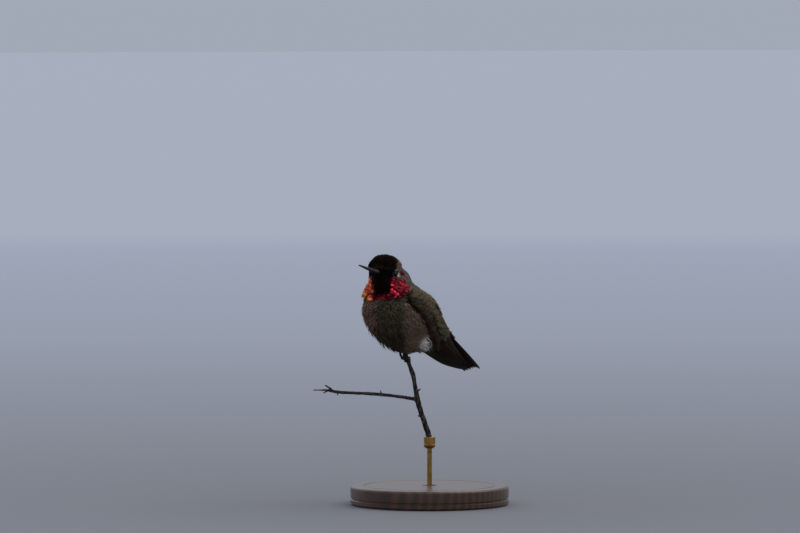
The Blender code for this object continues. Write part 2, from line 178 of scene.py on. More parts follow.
def refined(name, shapes, voxel, grow=0.0, rounds=6):
    # closed shapes fused into one fine even mesh
    piece = makePiece(name, *joinShapes(shapes), None)
    shape = bmesh.new()
    shape.from_mesh(piece.data)
    bmesh.ops.remove_doubles(shape, verts=shape.verts, dist=1e-6)
    shape.to_mesh(piece.data)
    shape.free()
    if grow:
        swell = piece.modifiers.new("swell", "DISPLACE")
        swell.strength = grow * mm
        swell.mid_level = 0
    fuse = piece.modifiers.new("fuse", "REMESH")
    fuse.mode = "VOXEL"
    fuse.voxel_size = voxel * mm
    ease = piece.modifiers.new("ease", "SMOOTH")
    ease.iterations = rounds
    applyModifiers(piece)
    piece.data.shade_smooth()
    return piece


def loftFaces(rows, columns, caps=True):
    # quads between rings of points, and triangles over both ends
    i, k = np.meshgrid(np.arange(rows - 1), np.arange(columns), indexing="ij")
    a = i * columns + k
    b = i * columns + (k + 1) % columns
    quads = np.stack([a, b, b + columns, a + columns], -1).reshape(-1, 4)
    ends = []
    if caps:
        for row in (0, rows - 1):
            ring = np.arange(columns) + row * columns
            ring = ring if row else ring[::-1]
            ends += [[ring[0], ring[k], ring[k + 1]] for k in range(1, columns - 1)]
    return [quads[:, ::-1], np.array(ends)[:, ::-1] if ends else np.zeros((0, 3), int)]


def tubeShape(path, radii, sides):
    # rings of points round a path
    path = np.asarray(path, float)
    ahead = unit(np.gradient(path, axis=0))
    side = unit(np.cross(ahead[0], (0.3, 0.5, 0.8)))
    turn = np.arange(sides) * 2 * math.pi / sides
    rings = []
    for i in range(len(path)):
        side = unit(side - ahead[i] * (side @ ahead[i]))
        other = np.cross(ahead[i], side)
        ring = np.outer(np.cos(turn), side) + np.outer(np.sin(turn), other)
        rings.append(path[i] + ring * radii[i])
    return np.vstack(rings), loftFaces(len(path), sides)


def fixFacing(points, faces):
    # turns a closed shape's faces outward
    tris = np.vstack([f if f.shape[1] == 3 else np.vstack([f[:, [0, 1, 2]], f[:, [0, 2, 3]]])
                      for f in faces if len(f)])
    a, b, c = points[tris[:, 0]], points[tris[:, 1]], points[tris[:, 2]]
    volume = (a * np.cross(b, c)).sum()
    return faces if volume > 0 else [f[:, ::-1] for f in faces]


def addNode(tree, kind, settings=None, links=None):
    # one node, with its settings by attribute or socket name, and links into its sockets
    node = tree.nodes.new(kind)
    for key, value in (settings or {}).items():
        if isinstance(key, str) and hasattr(node, key):
            setattr(node, key, value)
        else:
            node.inputs[key].default_value = value
    for key, source in (links or {}).items():
        tree.links.new(source, node.inputs[key])
    return node


def newMaterial(name, settings):
    made = bpy.data.materials.new(name)
    made.use_nodes = True
    shader = made.node_tree.nodes["Principled BSDF"]
    for key, value in settings.items():
        shader.inputs[key].default_value = value
    return made, made.node_tree


def wireShader(made, links):
    # feeds the material's shader from the outputs of its other nodes
    shader = made.node_tree.nodes["Principled BSDF"]
    for key, source in links.items():
        made.node_tree.links.new(source, shader.inputs[key])
    return made


def rampStops(node, stops):
    band = node.color_ramp
    while len(band.elements) < len(stops):
        band.elements.new(0.5)
    for element, (place, colour) in zip(band.elements, stops):
        element.position = place
        element.color = (*(toLinear(colour) if isinstance(colour, str) else (colour,) * 3), 1)


def featherMaterial(name, roughness, gloss, barbDepth, metallic=0.0):
    # keratin barbs side by side: a matt surface with fine slanting lines painted darker in the grooves
    # between barbs as painted shade, and flecks that are partly random tone, partly painted glints of barbs
    # catching the light
    made, tree = newMaterial(name, {
        "Roughness": roughness, "Metallic": metallic, "IOR": 1.55, "Specular IOR Level": gloss,
        "Specular Tint": (0.8, 0.3, 0.3, 1.0) if metallic else (1, 1, 1, 1)})
    colour = addNode(tree, "ShaderNodeAttribute", {"attribute_name": "plumage"})
    barbs = addNode(tree, "ShaderNodeAttribute", {"attribute_name": "barbs"})
    wave = addNode(tree, "ShaderNodeMath", {"operation": "SINE"}, {0: barbs.outputs["Fac"]})
    place = addNode(tree, "ShaderNodeTexCoord")
    # 0.45 mm flecks, about as wide as two of the drawn barbs
    fleck = addNode(tree, "ShaderNodeTexNoise", {"Scale": 1 / (0.45 * mm), "Detail": 3.0, "Roughness": 0.6},
                    {"Vector": place.outputs["Object"]})
    # painted shade: the barb wave darkens the colour in its troughs, where the bump sinks the grooves
    lines = addNode(tree, "ShaderNodeMapRange",
                    {"From Min": -1.0, "From Max": 1.0, "To Min": 1 - 0.28, "To Max": 1 + 0.14},
                    {"Value": wave.outputs[0]})
    spots = addNode(tree, "ShaderNodeMapRange",
                    {"From Min": 0.3, "From Max": 0.7, "To Min": 1 - 0.32, "To Max": 1 + 0.32},
                    {"Value": fleck.outputs["Fac"]})
    both = addNode(tree, "ShaderNodeMath", {"operation": "MULTIPLY"},
                   {0: lines.outputs["Result"], 1: spots.outputs["Result"]})
    tint = addNode(tree, "ShaderNodeVectorMath", {"operation": "SCALE"},
                   {0: colour.outputs["Color"], "Scale": both.outputs[0]})
    bump = addNode(tree, "ShaderNodeBump", {"Strength": 0.5, "Distance": barbDepth * mm},
                   {"Height": wave.outputs[0]})
    return wireShader(made, {"Base Color": tint.outputs[0], "Normal": bump.outputs[0]})


# the head's own directions, taken from the eyes and the bill
eyeBoxes = [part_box("eye_left"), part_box("eye_right")]
eyeCentres = [np.array((low + high) / 2) / mm - grip for low, high in eyeBoxes]
eyeRadius = (eyeBoxes[0][1].z - eyeBoxes[0][0].z) / mm / 2
billPoints = nodePoints("bill")[0]
eyeMiddle = (eyeCentres[0] + eyeCentres[1]) / 2
reach = np.linalg.norm(billPoints - eyeMiddle, axis=1)
billTip = billPoints[reach > reach.max() - 0.4].mean(0)
billRoot = billPoints[reach < reach.min() + 0.6].mean(0)
headLeft = unit(eyeCentres[0] - eyeCentres[1])
headAhead = unit((billTip - billRoot) - headLeft * ((billTip - billRoot) @ headLeft))
headUp = np.cross(headAhead, headLeft)
headTurn = np.stack([headLeft, headAhead, headUp])
headMiddle = eyeMiddle - headAhead * 1.0 - headUp * 0.2


def headPlace(points):
    # left, ahead and up from the head's middle
    return (np.asarray(points) - headMiddle) @ headTurn.T


def headPoint(left, ahead, up):
    return headMiddle + np.array((left, ahead, up)) @ headTurn


def throatAngle(h):
    # degrees round the throat from straight ahead, positive to the head's left
    return np.degrees(np.arctan2(h[:, 0], h[:, 1] + 0.8))


def bodyAngle(p):
    # degrees round the upright axis from the front, positive to the bird's left
    return np.degrees(np.arctan2(p[:, 0], -(p[:, 1] + 1.0)))


def fromEye(p):
    return np.minimum(*[np.linalg.norm(p - c, axis=1) for c in eyeCentres])


billBase = headPoint(0, 7.0, -0.7)
print("head found: bill", round(float(np.linalg.norm(billTip - billRoot)), 1), "mm, eyes",
      round(float(np.linalg.norm(eyeCentres[0] - eyeCentres[1])), 1), "mm apart")


def eyeFrame(k):
    # an eye's centre and its directions out, ahead and up; 0 is the left one
    side = 1 if k == 0 else -1
    out = unit(headLeft * side * 0.95 + headAhead * 0.3 + headUp * 0.03)
    ahead = unit(headAhead - out * (headAhead @ out))
    return eyeCentres[k], out, ahead, np.cross(out, ahead) * side


# plumage: the colour of each place on the bird, shared by its skin and its coat
colours = {
    "black": "#070504", "crown": "#190c0a", "crownSheen": "#4a2122", "rose": "#ac2b42", "crimson": "#8a1a28",
    "orange": "#d86242", "yellow": "#d3a043", "ear": "#6b6157", "white": "#f0ebe2", "nape": "#554b3c",
    "olive": "#655a39", "bronze": "#6d5733", "green": "#434b2c", "pinkGrey": "#846456", "breast": "#4e4735",
    "dusky": "#4f4739", "buff": "#7a6654", "belly": "#41372b", "lowBelly": "#5a5347", "rump": "#4f4930",
    "rim": "#94826a"}
shade = {name: toLinear(code) for name, code in colours.items()}
# soft spots, each with its centre and its reach in mm: two on the body, three on the side of the head
softSpots = {
    "vent": ((8.9, 3.6, 4.7), (2.1, 2.5, 2.4)), "underTail": ((0, 9.5, 2.5), (4.0, 4.0, 3.0)),
    "rosePatch": ((-3.4, 1.1), (1.45, 1.6)), "behindEye": ((-0.55, 0.1), (0.62, 0.85)),
    "underEye": ((-1.5, -0.6), (0.7, 0.35))}
# broken white arcs round the eye: where in degrees, how wide and how strong
eyeArcs = {"radius": 1.68, "width": 0.24, "parts": ((72, 28, 1), (8, 18, 0.5), (-66, 24, 0.7))}
# the height of the bib's lower edge in mm, by the angle round the throat
hemTurns = (-125, -107, -81, -57, -38, -23, 0, 31, 60, 80, 90, 107, 125)
hemHeights = (33.5, 29.5, 24.8, 23.6, 22.7, 23.5, 23.9, 24.1, 24.2, 24.6, 25.6, 28.2, 33.5)


def speckle(points, size):
    # smooth random values from -1 to 1 with grains of about that size in mm
    p = np.asarray(points) / size
    return (np.sin(p @ (1.7, 2.9, 1.3) + 1.2) * np.sin(p @ (-2.3, 1.1, 2.6) + 0.4)
            + np.sin(p @ (1.1, -2.2, 3.1) + 2.1) * np.sin(p @ (2.8, 1.9, -0.9) + 5.0)) * 0.5


def softSpot(name, places):
    centre, reach = softSpots[name]
    return np.exp(-(((places - centre) / reach)**2).sum(-1))


def backShare(p):
    # the back starts above a line from the bend of the wing to the tail
    line = 17.5 - 0.55 * (p[:, 1] + 2.0)
    return ramp(p[:, 2] - line, -2.0, 1.5) * ramp(p[:, 1], -7.5, -3.0)


def lay(colour, other, share):
    return between(colour, other, np.clip(share, 0, 1))


def plain(name, p):
    return np.broadcast_to(shade[name], p.shape)


def bodyColours(p, grain, coarse):
    # a grey-brown breast, buff flanks, a belly painted dark with shade and a white vent, under a back of
    # olive and bronze
    turn, up = bodyAngle(p), p[:, 2]
    wide = np.abs(turn)
    mottled = 0.7 + 0.3 * ramp(coarse, -0.3, 0.3)
    front = lay(plain("breast", p), shade["pinkGrey"], ramp(-turn, -20, 4) * mottled)
    # painted shade: the front is painted darker downwards, and darkest over the middle of the belly
    front = lay(front, shade["dusky"], ramp(-up, -14, -9) * 0.5)
    front = lay(front, shade["green"], 0.45 * ramp(grain, 0.1, 0.6) * ramp(up, 12, 18))
    flank = ramp(wide, 44, 58) * (1 - ramp(wide, 106, 122)) * (1 - ramp(up, 20, 24))
    front = lay(front, shade["buff"], flank)
    front = lay(front, shade["belly"], ramp(-up, -15, -8) * (1 - ramp(wide, 46, 66)) * 0.95)
    front = lay(front, shade["lowBelly"], ramp(-up, -6.0, -2.5) * ramp(p[:, 1], -6, 0))
    vent = softSpot("vent", np.column_stack([np.abs(p[:, 0]), p[:, 1:]]))
    front = lay(front, shade["white"], np.clip(3.2 * vent + 0.6 * softSpot("underTail", p), 0, 1))
    back = lay(plain("olive", p), shade["bronze"], ramp(speckle(p, 4.0), -0.3, 0.6) * 0.6)
    back = lay(back, shade["green"], ramp(speckle(p + 9.0, 3.2), 0.0, 0.7) * 0.45)
    back = lay(back, shade["rump"], ramp(p[:, 1], 8, 16) * 0.6)
    return lay(front, back, backShare(p))


def bibColours(p, h, fine, grain):
    # the bib's share of each place and its colours, its iridescence painted in as fixed colour: rose, orange
    # at the right limb, and a dark shield in front where it shows no glint
    around, below = throatAngle(h), -h[:, 2]
    hem = np.interp(around, hemTurns, hemHeights) + 0.35 * fine
    bib = ramp(p[:, 2] - hem, -0.3, 0.3) * ramp(below, 1.3, 2.1) * (1 - ramp(np.abs(around), 107, 112))
    rose = lay(plain("rose", p), shade["crimson"], ramp(-grain, -0.2, 0.8) * 0.7)
    yellow = ramp(-p[:, 2], -26.8, -24.6) * ramp(-around, 50, 64) * 0.8
    orange = lay(plain("orange", p), shade["yellow"], yellow)
    limb = 12 + 25 * ramp(below, 6.5, 9.5)
    lit = lay(rose, orange, ramp(-around - limb, -4, 6) * (1 - ramp(-around, 82, 100)))
    dark = ramp(around + 13 + 20 * (1 - ramp(below, 2.0, 8.0)), -3, 3)
    dark = dark * (1 - ramp(around + 2.5 * fine, 50, 58)) * ramp(p[:, 2] - hem, 1.8, 2.3)
    # painted highlight: the strip beside the shield is painted the brightest
    lit = lay(lit, shade["crimson"] * 4.4, (1 - ramp(around, 58, 74)) * ramp(around, 0, 40))
    return bib, dark, lay(lit, shade["black"], dark)


def plumage(points):
    # colours at places on the bird, with how far each place is glossy, black and part of the bib
    p = np.asarray(points, float)
    h = headPlace(p)
    ahead, up, out = h[:, 1], h[:, 2], np.abs(h[:, 0])
    fine, grain, coarse = speckle(p, 0.8), speckle(p, 1.6), speckle(p + 3.0, 4.5)
    base = bodyColours(p, grain, coarse)

    # neck and head over the body
    base = lay(base, shade["nape"], ramp(p[:, 2], 26.5, 29.0) * ramp(-ahead, -1.0, 1.5))
    ear = ramp(up, -2.6, -1.4) * ramp(-ahead, -2.4, -1.2) * ramp(out, 3.0, 5.0)
    base = lay(base, shade["ear"], ear * (1 - ramp(up, 2.6, 4.6)))
    base = lay(base, shade["olive"], ramp(up, 4.2, 5.2) * ramp(-ahead, -2.4, -1.6))
    crownEdge = -8.0 + 8.0 * np.clip(out / 5.0, 0, 1.1)**1.7
    crown = ramp(ahead - crownEdge, -0.7, 0.5) * ramp(up, 1.2, 2.6)
    # the crown is black, with dull red spots of painted sheen
    base = lay(base, lay(plain("crown", p), shade["crownSheen"], ramp(grain, 0.1, 0.8) * 0.6), crown)
    face = ramp(ahead - 0.35 * np.clip(up - 1.5, -3, 3), 1.3, 2.2) * ramp(up, -12, -10)
    face = face * (1 - 0.6 * crown)
    base = lay(base, shade["black"], face)
    bib, dark, bibTone = bibColours(p, h, fine, grain)
    base = lay(base, bibTone, bib)

    # round the eye: black lids, a rose patch behind, a white spot and broken white arcs
    base = lay(base, shade["black"], 1 - ramp(fromEye(p), 1.7, 1.95))
    patch = ramp(softSpot("rosePatch", h[:, 1:]), 0.4, 0.6) * (out > 4)
    base = lay(base, shade["rose"], patch)
    eyeAhead, eyeUp = headPlace(eyeCentres[0][None])[0, 1:]
    ring = np.hypot(ahead - eyeAhead, up - eyeUp)
    turnRing = np.degrees(np.arctan2(up - eyeUp, ahead - eyeAhead))
    arcs = sum(strength * bell(turnRing - at, long) for at, long, strength in eyeArcs["parts"])
    arcs = arcs * bell(ring - eyeArcs["radius"], eyeArcs["width"])
    base = lay(base, shade["white"], ramp(arcs, 0.25, 0.6) * 0.7 * (out > 3.5))
    spot = np.maximum(softSpot("behindEye", h[:, 1:]), softSpot("underEye", h[:, 1:]) * 0.6) * (out > 4)
    base = lay(base, shade["white"], ramp(spot, 0.3, 0.5))

    gloss = np.clip(bib * (1 - dark) + patch, 0, 1)
    black = np.clip(face * (1 - bib) + bib * dark + crown, 0, 1)
    base = base * (1 + 0.2 * grain + 0.12 * coarse)[:, None]
    # the feathers' rims are paler, browner on the back, and only a little paler where glossy or black
    edge = lay(base * 1.7, shade["rim"], backShare(p) * (1 - ramp(p[:, 2], 27, 30)) * 0.6)
    edge = lay(edge, base * 1.2, np.maximum(gloss, black))
    return {"base": np.clip(base, 0.001, 1), "edge": np.clip(edge, 0.001, 1),
            "gloss": gloss, "black": black, "bib": bib}


# skin: the whole feathered body as one surface, a coat's depth inside the solids; sizes in mm
skinSizes = {
    "voxel": 0.5, "faceDepth": 0.35, "headDepth": 0.75, "bodyDepth": 1.3, "bellyDepth": 1.7, "swell": 0.32}


def coatDepth(points):
    p = np.asarray(points, float)
    fromBill = np.linalg.norm(p - billBase, axis=1)
    s = skinSizes
    head = s["faceDepth"] + (s["headDepth"] - s["faceDepth"]) * ramp(fromBill, 2.5, 9.0)
    head = s["faceDepth"] + (head - s["faceDepth"]) * ramp(fromEye(p), 2.0, 4.5)
    body = s["bodyDepth"] + (s["bellyDepth"] - s["bodyDepth"]) * ramp(-p[:, 2], -14, -6)
    return head + (body - head) * ramp(-p[:, 2], -27.5, -21.0)


def makeSkin():
    # balls fill the holes where the eyes, bill, legs and tail are set in
    fillers = [ballPoints(c, (eyeRadius + 0.35,) * 3) for c in eyeCentres]
    fillers.append(ballPoints(headPoint(0, 5.9, -0.7), (1.5, 1.9, 1.5)))
    for side in ("left", "right"):
        top = np.array(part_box("leg_" + side)[1]) / mm - grip
        fillers.append(ballPoints(top - (0.3, 0.4, 0.6), (1.2, 1.2, 1.2)))
    fillers.append(ballPoints((0, 17.0, 11.8), (3.4, 3.2, 1.9)))
    shapes = [nodePoints(n) for n in ("head", "neck", "trunk")] + fillers
    skin = refined("skin", shapes, skinSizes["voxel"], grow=skinSizes["swell"], rounds=10)
    points, normals = pointsOf(skin)
    setPoints(skin.data, points - normals * (coatDepth(points) + skinSizes["swell"])[:, None])
    ease = skin.modifiers.new("ease", "SMOOTH")
    ease.iterations = 6
    applyModifiers(skin)
    points = pointsOf(skin)[0]
    paint(skin, "plumage", plumage(points)["base"] * 0.45)
    paint(skin, "barbs", points @ (3.0, 5.0, 9.0))
    return skin


skin = makeSkin()
skin.data.shade_smooth()
skinPoints, skinNormals = pointsOf(skin)
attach(skin, "root")
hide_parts("head", "neck", "trunk")
print("skin made:", len(skinPoints), "points")


def unwrapSkin():
    # the skin's own unwrap, which the coat's maps are placed by
    bpy.context.view_layer.objects.active = skin
    skin.select_set(True)
    bpy.ops.object.mode_set(mode="EDIT")
    bpy.ops.mesh.select_all(action="SELECT")
    bpy.ops.uv.smart_project(angle_limit=math.radians(66), island_margin=0.004)
    bpy.ops.object.mode_set(mode="OBJECT")
    skin.select_set(False)
    layer = skin.data.uv_layers.active
    layer.name = "OFBake"
    flat = np.empty(len(skin.data.loops) * 2, np.float32)
    layer.uv.foreach_get("vector", flat)
    starts = np.empty(len(skin.data.polygons), np.int32)
    skin.data.polygons.foreach_get("loop_start", starts)
    return flat.reshape(-1, 2)[starts]


skinMap = unwrapSkin()
skinTree = BVHTree.FromPolygons(skinPoints.tolist(), [tuple(f.vertices) for f in skin.data.polygons])
faceNormals = unit(np.array([skinNormals[list(f.vertices)].mean(0) for f in skin.data.polygons]))
print("skin unwrapped")


# the coat lies along a line from the bill's root through the body to the tail
spine = curveThrough([headPoint(0, 7.0, -0.7), headPoint(0, 0.5, 0.5), (0.2, -8.2, 25.5), (0, -1.5, 17.5),
                      (0, 6.5, 11.0), (0, 15.0, 6.5), (0, 24.0, 0.0)], 80)
spineRun = unit(np.gradient(spine, axis=0))


def lieOf(points, normals):
    # the direction that feathers point in, along the surface
    p = np.atleast_2d(points)
    far = ((p[:, None] - spine[None])**2).sum(2)
    weight = np.exp(-(far - far.min(1, keepdims=True)) / (2 * 5.0**2))
    run = (weight[..., None] * spineRun[None]).sum(1)
    away = p - billBase
    near = np.linalg.norm(away, axis=1, keepdims=True)
    share = np.exp(-(near / 7.5)**2)
    run = unit(run) * (1 - share) + unit(away) * share
    run = run - normals * (run * normals).sum(1, keepdims=True)
    return unit(run)


def vaneTemplate(seed, rows, columns, blunt, teeth, neck=0.3, widest=0.55):
    # a feather's cut shape: a thin closed blade with a rounded, frayed end; u along, v across, w through
    draw = np.random.default_rng(seed)
    v = np.linspace(-1, 1, columns + 1)
    longest = 1 - blunt * np.abs(v)**2.3
    longest[1:-1:2] -= teeth * draw.uniform(0.5, 1.5, len(longest[1:-1:2]))
    t = np.linspace(0, 1, rows + 1)
    width = neck + (1 - neck) * np.sin(np.clip(t / widest, 0, 1) * math.pi / 2)
    u = t[:, None] * longest[None, :]
    across = v[None, :] * width[:, None] * (1 - 0.06 * (t[:, None] > 0.9))
    grid = np.stack([u, across, np.zeros_like(u)], -1)
    rim = np.zeros(u.shape, bool)
    rim[0], rim[-1], rim[:, 0], rim[:, -1] = True, True, True, True
    top, low = grid.copy(), grid.copy()
    top[~rim, 2], low[~rim, 2] = 1, -1
    index = np.arange(u.size).reshape(u.shape)
    lowIndex = index.copy()
    lowIndex[~rim] = u.size + np.arange((~rim).sum())
    a, b, c, d = index[:-1, :-1], index[:-1, 1:], index[1:, 1:], index[1:, :-1]
    quads = [np.stack([a, d, c, b], -1).reshape(-1, 4)]
    a, b, c, d = lowIndex[:-1, :-1], lowIndex[:-1, 1:], lowIndex[1:, 1:], lowIndex[1:, :-1]
    quads.append(np.stack([a, b, c, d], -1).reshape(-1, 4))
    return np.vstack([top.reshape(-1, 3), low[~rim]]), np.vstack(quads)


def strandTemplate(seed, count, spread, width=0.05, start=0.25, long=0.55):
    # loose barbs: thin three-sided blades that leave the shaft and part at their tips
    draw = np.random.default_rng(seed)
    points, quads = [], []
    for k in range(count):
        side = -1 if k % 2 else 1
        root = start + (0.6 - start) * (k // 2) / max(1, count // 2 - 1) + draw.uniform(-0.05, 0.05)
        fan = spread * side * (0.25 + 0.75 * (k // 2 + 1) / (count / 2)) * draw.uniform(0.7, 1.2)
        length = long * draw.uniform(0.8, 1.15)
        rise = draw.uniform(0.7, 2.4)
        first = len(points) * 9
        ring = []
        for t, share in ((0.0, 1.0), (0.55, 0.8), (1.0, 0.1)):
            u = root + length * t
            v = fan * t**0.8
            half = width * share
            up = 0.8 + rise * t
            ring.append([(u, v - half, up), (u, v + half, up), (u, v, up + 1.6 * share)])
        points.append(np.array(ring).reshape(-1, 3))
        for i in range(2):
            for j in range(3):
                a, b = first + i * 3 + j, first + i * 3 + (j + 1) % 3
                quads.append([a, b, b + 3, a + 3])
        quads += [[first, first + 2, first + 1, first + 1], [first + 6, first + 7, first + 8, first + 8]]
    return np.vstack(points), np.array(quads)


def looseCuts(vaneSeed, blunt, teeth, strandSeed, *strands, **more):
    # six cuts of a soft feather: a frayed vane under loose barbs
    return [joinShapes([vaneTemplate(vaneSeed + s, 4, 6, blunt, teeth),
                        strandTemplate(strandSeed + s, *strands, **more)]) for s in range(6)]


featherKinds = {
    # small round scales of the crown and face
    "scale": [vaneTemplate(s, 4, 6, 0.42, 0.03) for s in range(4)],
    # the bib's broad flat plates
    "plate": [vaneTemplate(10 + s, 5, 8, 0.32, 0.025, neck=0.4) for s in range(4)],
    # firm contour feathers of the back
    "contour": [vaneTemplate(20 + s, 5, 8, 0.4, 0.06) for s in range(5)],
    # soft feathers of breast and belly, with loose barbs
    "soft": looseCuts(30, 0.5, 0.1, 0, 6, 1.0),
    # the same with longer barbs, for the ragged lower breast
    "ragged": looseCuts(35, 0.55, 0.12, 70, 8, 1.0, long=0.85),
    # fluff of the lower belly and vent
    "down": looseCuts(40, 0.6, 0.2, 50, 14, 1.5, width=0.045, start=0.1),
}


def spreadRoots(spacing, seed):
    # roots scattered over the skin, no two closer than the spacing where they are
    draw = np.random.default_rng(seed)
    corner = np.array([(*f.vertices, f.vertices[-1])[:4] for f in skin.data.polygons])
    a, b, c, d = (skinPoints[corner[:, k]] for k in range(4))
    area = np.linalg.norm(np.cross(c - a, d - b), axis=1) / 2
    count = int(area.sum() / 0.035)
    face = draw.choice(len(corner), count, p=area / area.sum())
    s, t = draw.random(count), draw.random(count)
    spot = between(between(a[face], b[face], s), between(d[face], c[face], s), t)
    gap = spacing(spot)
    cell = gap.max()
    grid, kept = {}, []
    keys = np.floor(spot / cell).astype(int)
    places = spot.tolist()
    for i in range(count):
        if gap[i] <= 0:
            continue
        x, y, z = keys[i]
        px, py, pz = places[i]
        g2 = gap[i] * gap[i]
        clear = True
        for i1, j1, k1 in product((-1, 0, 1), repeat=3):
            near = grid.get((x + i1, y + j1, z + k1), ())
            if any((px - qx)**2 + (py - qy)**2 + (pz - qz)**2 < g2 for qx, qy, qz in near):
                clear = False
                break
        if clear:
            grid.setdefault((x, y, z), []).append((px, py, pz))
            kept.append(i)
    kept = np.array(kept)
    return spot[kept], face[kept]


def featherSpacing(points):
    p = np.asarray(points, float)
    h = headPlace(p)
    fromBill = np.linalg.norm(p - billBase, axis=1)
    nearEye = fromEye(p)
    head = 0.3 + 0.3 * ramp(fromBill, 1.0, 8.0)
    head = np.minimum(head, 0.26 + 0.34 * ramp(nearEye, 1.8, 4.5))
    around = np.abs(throatAngle(h))
    # the bib's plates grow larger down the throat and towards its sides
    sides = ramp(around, 35, 70) * (1 - ramp(around, 104, 118))
    head = head + ramp(-h[:, 2], 1.5, 5.5) * (0.1 + 0.22 * sides)
    body = 0.84 + 0.14 * backShare(p) + 0.1 * ramp(-p[:, 2], -10, -4)
    gap = head + (body - head) * ramp(-p[:, 2], -24.5, -20.5)
    # none under the eyes, nor inside the bill
    gap = np.where(nearEye < eyeRadius + 0.02, 0, gap)
    return np.where(fromBill < 1.15, 0, gap)


stationCount = 5  # places along each feather where it is fitted to the skin
featherPatch = 0.003  # each feather's share of the skin's unwrap, across
# mm between barbs: the real ones are about a tenth of that, and are drawn coarser so that they show
barbGaps = {"coat": 0.24, "flight": 0.3}


def templateWeights(template):
    # how each point of a template follows the five places along a feather, at its middle and both sides
    u, v = template[:, 0], template[:, 1]
    at = np.clip(u, 0, 1.25) * (stationCount - 1)
    k = np.clip(at.astype(int), 0, stationCount - 2)
    t = at - k
    weights = np.zeros((len(u), stationCount, 3))
    across = np.stack([v * (v - 1) / 2, 1 - v * v, v * (v + 1) / 2], -1)
    rows = np.arange(len(u))
    weights[rows, k] += (1 - t)[:, None] * across
    weights[rows, k + 1] += t[:, None] * across
    return weights.reshape(len(u), -1)


def dropOnSkin(points):
    # the nearest places on the skin, with the normals of the faces there
    found = [skinTree.find_nearest(q) for q in points.tolist()]
    return np.array([f[0][:] for f in found]), faceNormals[[f[2] for f in found]]


def fitFeathers(roots, faces, lengths, widths, follow, sway):
    # walks each feather down the lie of the coat; follow is how closely it keeps to the skin's curve
    count = len(roots)
    places = np.zeros((count, stationCount, 3, 3))
    ups = np.zeros((count, stationCount, 3, 3))
    normals = faceNormals[faces]
    lie = lieOf(roots, normals)
    lie = unit(lie + np.cross(normals, lie) * np.tan(sway)[:, None])
    place, normal, ahead = roots.copy(), normals, lie
    for i in range(stationCount):
        side = np.cross(normal, ahead)
        for j, s in ((0, -1.0), (1, 0.0), (2, 1.0)):
            spots = place + side * (widths * s)[:, None]
            onSkin, upSkin = dropOnSkin(spots)
            places[:, i, j] = between(spots, onSkin, follow) if i else onSkin
            ups[:, i, j] = unit(upSkin * 0.7 + normal * 0.3)
        step = lengths[:, None] / (stationCount - 1)
        if i < stationCount - 1:
            ahead = unit(ahead * 0.6 + lieOf(place, normal) * 0.4)
            forward = place + ahead * step
            onSkin, upSkin = dropOnSkin(forward)
            place = between(forward, onSkin, follow)
            newNormal = unit(between(normal, upSkin, np.clip(follow + 0.15, 0, 1)))
            ahead = unit(ahead - newNormal * (ahead * newNormal).sum(1, keepdims=True))
            normal = newNormal
    return places.reshape(count, -1, 3), ups.reshape(count, -1, 3)


def mapCoat(piece, maps):
    # each feather's patch lies at its root's place on the unwrap
    corners = np.empty(len(piece.data.loops), np.int32)
    piece.data.loops.foreach_get("vertex_index", corners)
    layer = piece.data.uv_layers.new(name="OFBake")
    layer.uv.foreach_set("vector", np.vstack(maps)[corners].astype(np.float32).ravel())


def growCoat(name, material, slotName, pick, kind, table):
    # makes one piece of the coat from the feathers that pick chooses
    chosen = np.flatnonzero(pick)
    shapes, colours, barbs, maps = [], [], [], []
    cuts = featherKinds[kind]
    which = table["draw"][chosen] % len(cuts)
    for k, (template, quads) in enumerate(cuts):
        rows = chosen[which == k]
        if not len(rows):
            continue
        weights = templateWeights(template)
        places, ups = table["places"][rows], table["ups"][rows]
        base = np.einsum("tc,nck->ntk", weights, places)
        up = unit(np.einsum("tc,nck->ntk", weights, ups))
        u, v, w = template[:, 0], template[:, 1], template[:, 2]
        f = {key: values[rows][:, None] for key, values in table.items()}
        inside = np.clip(u, 0, 1)
        rise = f["lift"] * inside**0.85 - f["sink"] * (1 - np.clip(u * 2.2, 0, 1))
        rise = rise + 0.16 * (1 - v * v) * np.sin(inside * 2.6) * f["width"]
        rise = rise + f["thick"] * w * (1.1 - 0.6 * inside) + f["roll"] * v * u + f["curl"] * u**3
        made = base + up * rise[..., None]
        # painted shade: darker towards the root, where each feather lies under those above it, with a paler
        # or brighter rim and a shaft that just shows
        rim = ramp(np.maximum(u * (1 - 0.06 * np.abs(v)), 0), 0.78, 1.0)[None, :, None]
        rootShade = 1 - f["deep"][..., None] * (1 - ramp(u, 0.2, 0.75))[None, :, None]
        shaft = (1 + 0.12 * (np.abs(v) < 0.08))[None, :, None]
        colour = (f["base"] * (1 - rim) + f["edge"] * rim) * rootShade * shaft
        lines = (u[None] * f["length"] - np.abs(v)[None] * f["width"] * 0.9) * 2 * math.pi / barbGaps["coat"]
        counted = quads[None] + (np.arange(len(rows)) * len(template))[:, None, None]
        shapes.append((made.reshape(-1, 3), counted.reshape(-1, 4)))
        colours.append(np.broadcast_to(colour, made.shape).reshape(-1, 3))
        barbs.append(np.broadcast_to(lines, made.shape[:2]).ravel())
        maps.append((f["map"] + np.stack([v * 0.5, u - 0.5], -1)[None] * featherPatch).reshape(-1, 2))
    points, quads = joinShapes(shapes)
    twin = quads[:, 2] == quads[:, 3]
    groups = [quads[~twin]] + ([quads[twin][:, :3]] if twin.any() else [])
    piece = makePiece(name, points, groups, material, slotName)
    paint(piece, "plumage", np.vstack(colours))
    paint(piece, "barbs", np.concatenate(barbs))
    mapCoat(piece, maps)
    print(" ", name, len(chosen), "feathers", len(groups[0]) * 2, "triangles")


